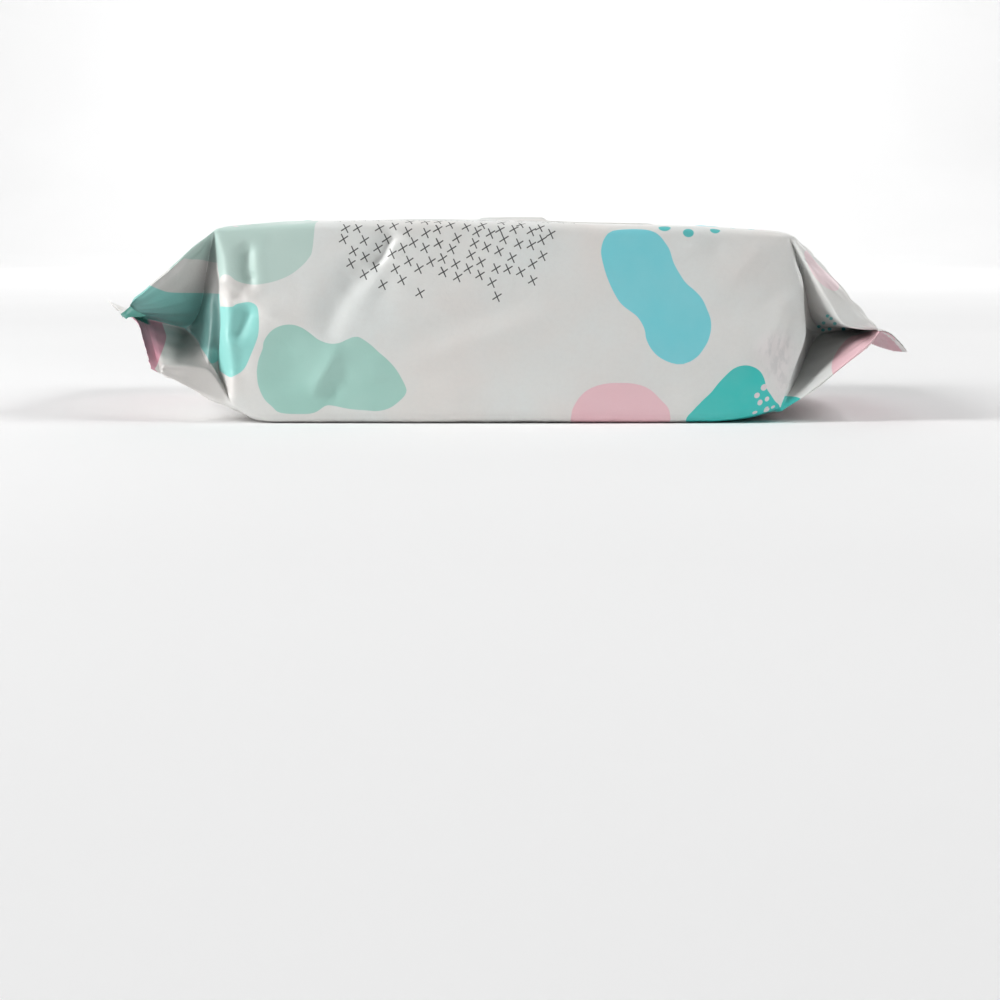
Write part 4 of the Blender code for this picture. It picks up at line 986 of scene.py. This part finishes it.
# ------------------------------------------------------------------------------------------------
# Reseal label
# ------------------------------------------------------------------------------------------------
def make_label(finish):
    soft, n_x, n_y = 6.0, 170, 70
    t = np.linspace(-1, 1, n_x)
    xs = np.sin(t * math.pi / 2 * 0.86) / math.sin(math.pi / 2 * 0.86) * LABEL_LENGTH / 2
    over = np.maximum(0.0, np.abs(xs) - (LABEL_LENGTH / 2 - soft))
    half = LABEL_WIDTH / 2 - soft + np.sqrt(np.maximum(0.0, soft**2 - over**2))
    rise = np.clip((LABEL_TAB / 2 + 1.0 - np.abs(xs)) / 3.0, 0, 1)
    tab = LABEL_TAB_REACH * rise * rise * (3 - 2 * rise)
    s = np.linspace(0, 1, n_y)
    y = (LABEL_Y - half - tab)[:, None] + (2 * half + tab)[:, None] * s
    x = np.broadcast_to(xs[:, None], y.shape) + LABEL_X
    crown, shoulder = height(CROWN, x), height(SHOULDER, x)
    z = crown - (crown - shoulder) * (y / (WIDTH / 2)) ** 2 + LABEL_GAP
    z = z + 0.5 * top_relief(x + CENTRE_X, y)
    inset = np.minimum(LABEL_LENGTH / 2 - np.abs(x - LABEL_X), np.minimum(s, 1 - s)[None] * (2 * half + tab)[:, None])
    z = z + 0.15 * smoothstep(inset, 0.0, 2.5)
    # the pull tab has sprung up behind its front edge, more towards its right corner
    out = np.clip((LABEL_Y - LABEL_WIDTH / 2 + 1.0 - y) / LABEL_TAB_REACH, 0, 1)
    rim = (y - (LABEL_Y - LABEL_WIDTH / 2 - LABEL_TAB_REACH))
    spring = smoothstep(rim, 0.0, 1.6) * out ** 0.6 * smoothstep(LABEL_TAB / 2 - 2.0 - np.abs(xs), 0.0, 1.8)[:, None]
    z = z + spring * (0.55 + 0.55 * np.clip((x - LABEL_X) / LABEL_TAB + 0.5, 0, 1))
    # the scored outline of the opening, and three grip ridges on the tab
    turn = np.linspace(0, 2 * math.pi, 97)[:-1]
    opening = np.stack([LABEL_X + 27.0 * np.cos(turn), LABEL_Y + 1.0 + 16.0 * np.sin(turn)], axis=1)
    plane = np.stack([x, y], axis=-1)
    score = np.abs(signed_distance(plane, opening, 60.0))
    top = z + LABEL_THICK - 0.07 * np.exp(-(score / 1.5) ** 2)
    for k in range(3):
        top = top + 0.12 * np.exp(-((y + 28.0 + 1.6 * k) / 0.4) ** 2) * (np.abs(x - LABEL_X) < 6.5)
    low_points = np.stack([x + CENTRE_X, y, z], axis=-1).reshape(-1, 3)
    top_points = np.stack([x + CENTRE_X, y, top], axis=-1).reshape(-1, 3)
    layer = n_x * n_y
    i, j = np.meshgrid(np.arange(n_x - 1), np.arange(n_y - 1), indexing="ij")
    a, b = (i * n_y + j).reshape(-1), ((i + 1) * n_y + j).reshape(-1)
    quads = np.concatenate([np.stack([a, a + 1, b + 1, b], 1), layer + np.stack([a, b, b + 1, a + 1], 1)])
    rim = [r * n_y for r in range(n_x)] + [(n_x - 1) * n_y + c for c in range(1, n_y)]
    rim += [r * n_y + n_y - 1 for r in range(n_x - 2, -1, -1)] + list(range(n_y - 2, 0, -1))
    walls = [[p, q, layer + q, layer + p] for p, q in zip(rim, rim[1:] + rim[:1])]
    made = build_mesh("resealing_label", np.concatenate([low_points, top_points]), quads, walls, finish, 40.0)
    ring = signed_distance(plane, opening, 60.0)
    # printed fields of the label
    fields = [(signed_distance(plane, bean(-22, 14, 10, 7, 20, 0.2), 60.0), PALE_MINT),
              (signed_distance(plane, bean(26, -8, 7, 10, 20, 0.2), 60.0), ROSE), (signed_distance(plane, bean(20, 18, 9, 5, -12), 60.0), SEA)]
    edge, ink = np.full(plane.shape[:2], 99.0), np.tile(SKY, (n_x, n_y, 1))
    for d, colour in fields:
        closer = d < edge
        edge[closer], ink[closer] = d[closer], colour
    for name, value in (("edge", edge), ("ring", ring), ("inset", inset)):
        put(made.data, name, "FLOAT", "POINT", np.concatenate([value.ravel(), value.ravel()]))
    ink = np.concatenate([ink, np.ones((n_x, n_y, 1))], axis=-1).reshape(-1, 4)
    put(made.data, "ink", "FLOAT_COLOR", "POINT", np.concatenate([ink, ink]))
    return made


# ------------------------------------------------------------------------------------------------
# Materials
# ------------------------------------------------------------------------------------------------
class Nodes:
    """Small helper over a material's node tree."""

    def __init__(self, name):
        self.material = bpy.data.materials.new(name)
        self.material.use_nodes = True
        self.tree = self.material.node_tree
        self.shader = self.tree.nodes["Principled BSDF"]

    def add(self, kind, **inputs):
        settings = {k: inputs.pop(k) for k in list(inputs) if k.startswith("set_")}
        node = self.tree.nodes.new(kind)
        for key, value in settings.items():
            setattr(node, key[4:], value)
        for key, value in inputs.items():
            index = int(key[2:]) if key.startswith("in") and key[2:].isdigit() else key.replace("_", " ")
            self.wire(value, node.inputs[index])
        return node

    def wire(self, value, socket):
        if isinstance(value, bpy.types.NodeSocket):
            self.tree.links.new(value, socket)
        else:
            socket.default_value = value

    def math(self, operation, *values):
        node = self.add("ShaderNodeMath", set_operation=operation)
        for k, value in enumerate(values):
            self.wire(value, node.inputs[k])
        return node.outputs[0]

    def attribute(self, name, output="Fac"):
        return self.add("ShaderNodeAttribute", set_attribute_name=name, set_attribute_type="GEOMETRY").outputs[output]

    def dot(self, vector, by):
        node = self.add("ShaderNodeVectorMath", set_operation="DOT_PRODUCT")
        self.wire(vector, node.inputs[0])
        node.inputs[1].default_value = by
        return node.outputs["Value"]

    def below(self, value, limit, soft):
        """1 where value is under limit, 0 over it, over a soft step."""
        node = self.add("ShaderNodeMapRange", set_interpolation_type="SMOOTHSTEP")
        self.wire(value, node.inputs["Value"])
        node.inputs["From Min"].default_value = limit - soft
        node.inputs["From Max"].default_value = limit + soft
        node.inputs["To Min"].default_value = 1.0
        node.inputs["To Max"].default_value = 0.0
        return node.outputs["Result"]

    def mix(self, factor, a, b, blend="MIX"):
        node = self.add("ShaderNodeMix", set_data_type="RGBA", set_blend_type=blend)
        self.wire(factor, node.inputs[0])
        self.wire(a, node.inputs[6])
        self.wire(b, node.inputs[7])
        return node.outputs[2]

    def noise(self, scale, detail=3.0, rough=0.5, vector=None, distortion=0.0):
        node = self.add("ShaderNodeTexNoise")
        if vector is not None:
            self.wire(vector, node.inputs["Vector"])
        node.inputs["Scale"].default_value = scale
        node.inputs["Detail"].default_value = detail
        node.inputs["Roughness"].default_value = rough
        node.inputs["Distortion"].default_value = distortion
        return node.outputs["Fac"]

    def range(self, value, low, high, a=0.0, b=1.0):
        node = self.add("ShaderNodeMapRange")
        self.wire(value, node.inputs["Value"])
        for key, number in (("From Min", low), ("From Max", high), ("To Min", a), ("To Max", b)):
            node.inputs[key].default_value = number
        return node.outputs["Result"]


def rgba(colour):
    return (*[float(c) for c in colour], 1.0)


def cross_mask(n, name):
    v = n.attribute(name, "Vector")
    arms = []
    for angle in (32.0, -65.0):
        t = math.radians(angle)
        along = n.math("ABSOLUTE", n.dot(v, (math.cos(t), math.sin(t), 0.0)))
        off = n.math("ABSOLUTE", n.dot(v, (-math.sin(t), math.cos(t), 0.0)))
        arms.append(n.math("MULTIPLY", n.below(along, 1.45, 0.06), n.below(off, 0.155, 0.05)))
    return n.math("MAXIMUM", arms[0], arms[1])


def film_base(n, place):
    """White film with a faint warm and cool cloudiness."""
    cloud = n.noise(34.0, 4.0, 0.55, place)
    base = n.mix(n.range(cloud, 0.34, 0.68), rgba(FILM_WARM), rgba(FILM_COOL))
    speck = n.noise(900.0, 2.0, 0.6, place)
    return n.mix(n.range(speck, 0.42, 0.72, 0.0, 0.22), base, rgba(FILM_SHADE))


FILM_WARM, FILM_COOL, FILM_SHADE = linear(229, 225, 221), linear(226, 229, 227), linear(219, 218, 215)


def film_surface(n, place, rough, bump):
    """Satin sheen with slight wear, and fine crinkles under it."""
    wear = n.noise(120.0, 5.0, 0.6, place, 0.4)
    n.wire(n.range(wear, 0.3, 0.72, rough - 0.05, rough + 0.09), n.shader.inputs["Roughness"])
    crinkle = n.noise(210.0, 6.0, 0.62, place, 1.2)
    grain = n.noise(2600.0, 2.0, 0.5, place)
    first = n.add("ShaderNodeBump", Height=crinkle)
    first.inputs["Strength"].default_value = bump
    first.inputs["Distance"].default_value = 0.0006
    second = n.add("ShaderNodeBump", Height=grain, Normal=first.outputs["Normal"])
    second.inputs["Strength"].default_value = 0.10
    second.inputs["Distance"].default_value = 0.00008
    n.wire(second.outputs["Normal"], n.shader.inputs["Normal"])
    n.shader.inputs["IOR"].default_value = 1.5
    n.shader.inputs["Coat Weight"].default_value = 0.12
    n.shader.inputs["Coat Roughness"].default_value = 0.32


def printed_film():
    n = Nodes("printed_film")
    place = n.add("ShaderNodeTexCoord").outputs["Object"]
    colour = film_base(n, place)
    # pale patch with grey blots
    inside = n.below(n.attribute("patch"), -1.0, 3.0)
    tall = n.add("ShaderNodeMapping", Vector=place)
    tall.inputs["Scale"].default_value = (1.0, 1.0, 0.45)
    blots = n.below(n.noise(560.0, 3.0, 0.55, tall.outputs[0]), 0.47, 0.09)
    tinted = n.mix(n.math("MULTIPLY", inside, 0.40), colour, rgba(linear(234, 222, 224)))
    colour = n.mix(n.math("MULTIPLY", n.math("MULTIPLY", inside, blots), 0.40), tinted, rgba(linear(192, 192, 192)))
    # fields of ink, a little uneven as a printed roll is
    ink = n.attribute("ink", "Color")
    uneven = n.mix(n.range(n.noise(70.0, 4.0, 0.55, place), 0.35, 0.7, 0.0, 0.07), ink, rgba(FILM_COOL))
    colour = n.mix(n.below(n.attribute("edge"), 0.0, 0.09), colour, uneven)
    # dots
    v = n.attribute("dot", "Vector")
    split = n.add("ShaderNodeSeparateXYZ", Vector=v)
    radius = n.math("SQRT", n.math("ADD", n.math("MULTIPLY", split.outputs[0], split.outputs[0]), n.math("MULTIPLY", split.outputs[1], split.outputs[1])))
    dot_colour = n.mix(n.math("LESS_THAN", split.outputs[2], 0.5), rgba(linear(226, 216, 218)), rgba(DOT_TEAL))
    colour = n.mix(n.below(radius, 1.0, 0.10), colour, dot_colour)
    # crosses
    crosses = n.math("MAXIMUM", cross_mask(n, "cross_a"), cross_mask(n, "cross_b"))
    colour = n.mix(n.math("MULTIPLY", crosses, 0.95), colour, rgba(linear(30, 26, 26)))
    # painted shade: the film colour is darkened in the folded-in ends, where less light gets in
    shaded = n.mix(0.80, colour, (0.0, 0.0, 0.0, 1.0))
    colour = n.mix(n.attribute("depth"), colour, shaded)
    n.wire(colour, n.shader.inputs["Base Color"])
    film_surface(n, place, 0.36, 0.16)
    return n.material


def printed_label():
    n = Nodes("label_film")
    place = n.add("ShaderNodeTexCoord").outputs["Object"]
    colour = film_base(n, place)
    colour = n.mix(n.below(n.attribute("edge"), 0.0, 0.12), colour, n.attribute("ink", "Color"))
    colour = n.mix(n.math("MULTIPLY", n.below(n.math("ABSOLUTE", n.attribute("ring")), 0.24, 0.08), 0.55), colour, rgba(linear(120, 150, 150)))
    border = n.below(n.math("ABSOLUTE", n.math("SUBTRACT", n.attribute("inset"), 1.1)), 0.16, 0.08)
    colour = n.mix(n.math("MULTIPLY", border, 0.35), colour, rgba(linear(150, 172, 172)))
    n.wire(colour, n.shader.inputs["Base Color"])
    film_surface(n, place, 0.33, 0.03)
    return n.material


# ------------------------------------------------------------------------------------------------
# Floor, light and camera
# ------------------------------------------------------------------------------------------------
def stage():
    """A pale floor that curves up into a backdrop."""
    profile = [(-3.0, 3.4)] + [(-2.2 - 0.8 * math.sin(a), 0.8 - 0.8 * math.cos(a)) for a in np.linspace(math.pi / 2, 0.1, 14)] + [(-2.2, 0.0), (2.2, 0.0)] + [(2.2 + 0.8 * math.sin(a), 0.8 - 0.8 * math.cos(a)) for a in np.linspace(0.1, math.pi / 2, 14)] + [(3.0, 3.4)]
    points, faces = [], []
    for y, z in profile:
        points += [(-3.6, y, z), (3.6, y, z)]
    for k in range(len(profile) - 1):
        faces.append((2 * k, 2 * k + 1, 2 * k + 3, 2 * k + 2))
    mesh = bpy.data.meshes.new("floor")
    mesh.from_pydata(points, [], faces)
    mesh.shade_smooth()
    floor = bpy.data.objects.new("floor", mesh)
    bpy.context.scene.collection.objects.link(floor)
    n = Nodes("pale_floor")
    place = n.add("ShaderNodeTexCoord").outputs["Object"]
    n.wire(n.mix(n.range(n.noise(3.0, 2.0, 0.5, place), 0.3, 0.7), (0.86, 0.86, 0.86, 1), (0.89, 0.89, 0.89, 1)), n.shader.inputs["Base Color"])
    n.shader.inputs["Roughness"].default_value = 0.9
    n.shader.inputs["Specular IOR Level"].default_value = 0.2
    mesh.materials.append(n.material)


def area_light(name, at, to, size, power):
    data = bpy.data.lights.new(name, "AREA")
    data.shape, data.size, data.size_y, data.energy = "RECTANGLE", size[0], size[1], power
    lamp = bpy.data.objects.new(name, data)
    lamp.location = at
    lamp.rotation_euler = aim(at, to)
    bpy.context.scene.collection.objects.link(lamp)
    return lamp


def aim(at, to):
    dx, dy, dz = (b - a for a, b in zip(at, to))
    return (math.atan2(math.hypot(dx, dy), -dz), 0.0, math.atan2(dy, dx) - math.pi / 2)


def lights():
    world = bpy.data.worlds.new("soft_world")
    world.use_nodes = True
    world.node_tree.nodes["Background"].inputs["Color"].default_value = (1.0, 1.0, 1.0, 1.0)
    world.node_tree.nodes["Background"].inputs["Strength"].default_value = 0.06
    bpy.context.scene.world = world
    area_light("left_box", (-1.0, -0.33, 0.80), (0, 0, 0.03), (0.42, 0.42), 10.7)
    area_light("low_left_box", (-1.15, -0.32, 0.22), (0, 0, 0.03), (0.35, 0.3), 4.2)
    area_light("right_box", (0.95, -0.20, 0.85), (0, 0, 0.03), (0.42, 0.42), 8.0)
    area_light("top_box", (0.0, 0.15, 1.25), (0, 0, 0.03), (1.0, 0.8), 1.2)
    area_light("front_wall_box", (0.0, -1.5, 1.9), (0, -2.9, 0.5), (2.4, 0.8), 5.5)
    area_light("backdrop_box", (0.0, 1.2, 1.9), (0, 2.9, 0.6), (2.4, 0.8), 54.0)


def camera():
    data = bpy.data.cameras.new("camera")
    data.sensor_width, data.lens = 36.0, FOCAL * 0.036
    data.clip_start, data.clip_end = 0.02, 20.0
    made = bpy.data.objects.new("camera", data)
    made.location = EYE * MM
    made.rotation_euler = (math.pi / 2 - TILT, 0.0, 0.0)
    bpy.context.scene.collection.objects.link(made)
    bpy.context.scene.camera = made


camera()
pouch_piece = make_pouch(printed_film())
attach(pouch_piece, "root")
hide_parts("wipes_pouch")
label_piece = make_label(printed_label())
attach(label_piece, "root")
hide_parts("reseal_label")
stage()
lights()
bpy.context.scene.view_settings.view_transform = "Standard"
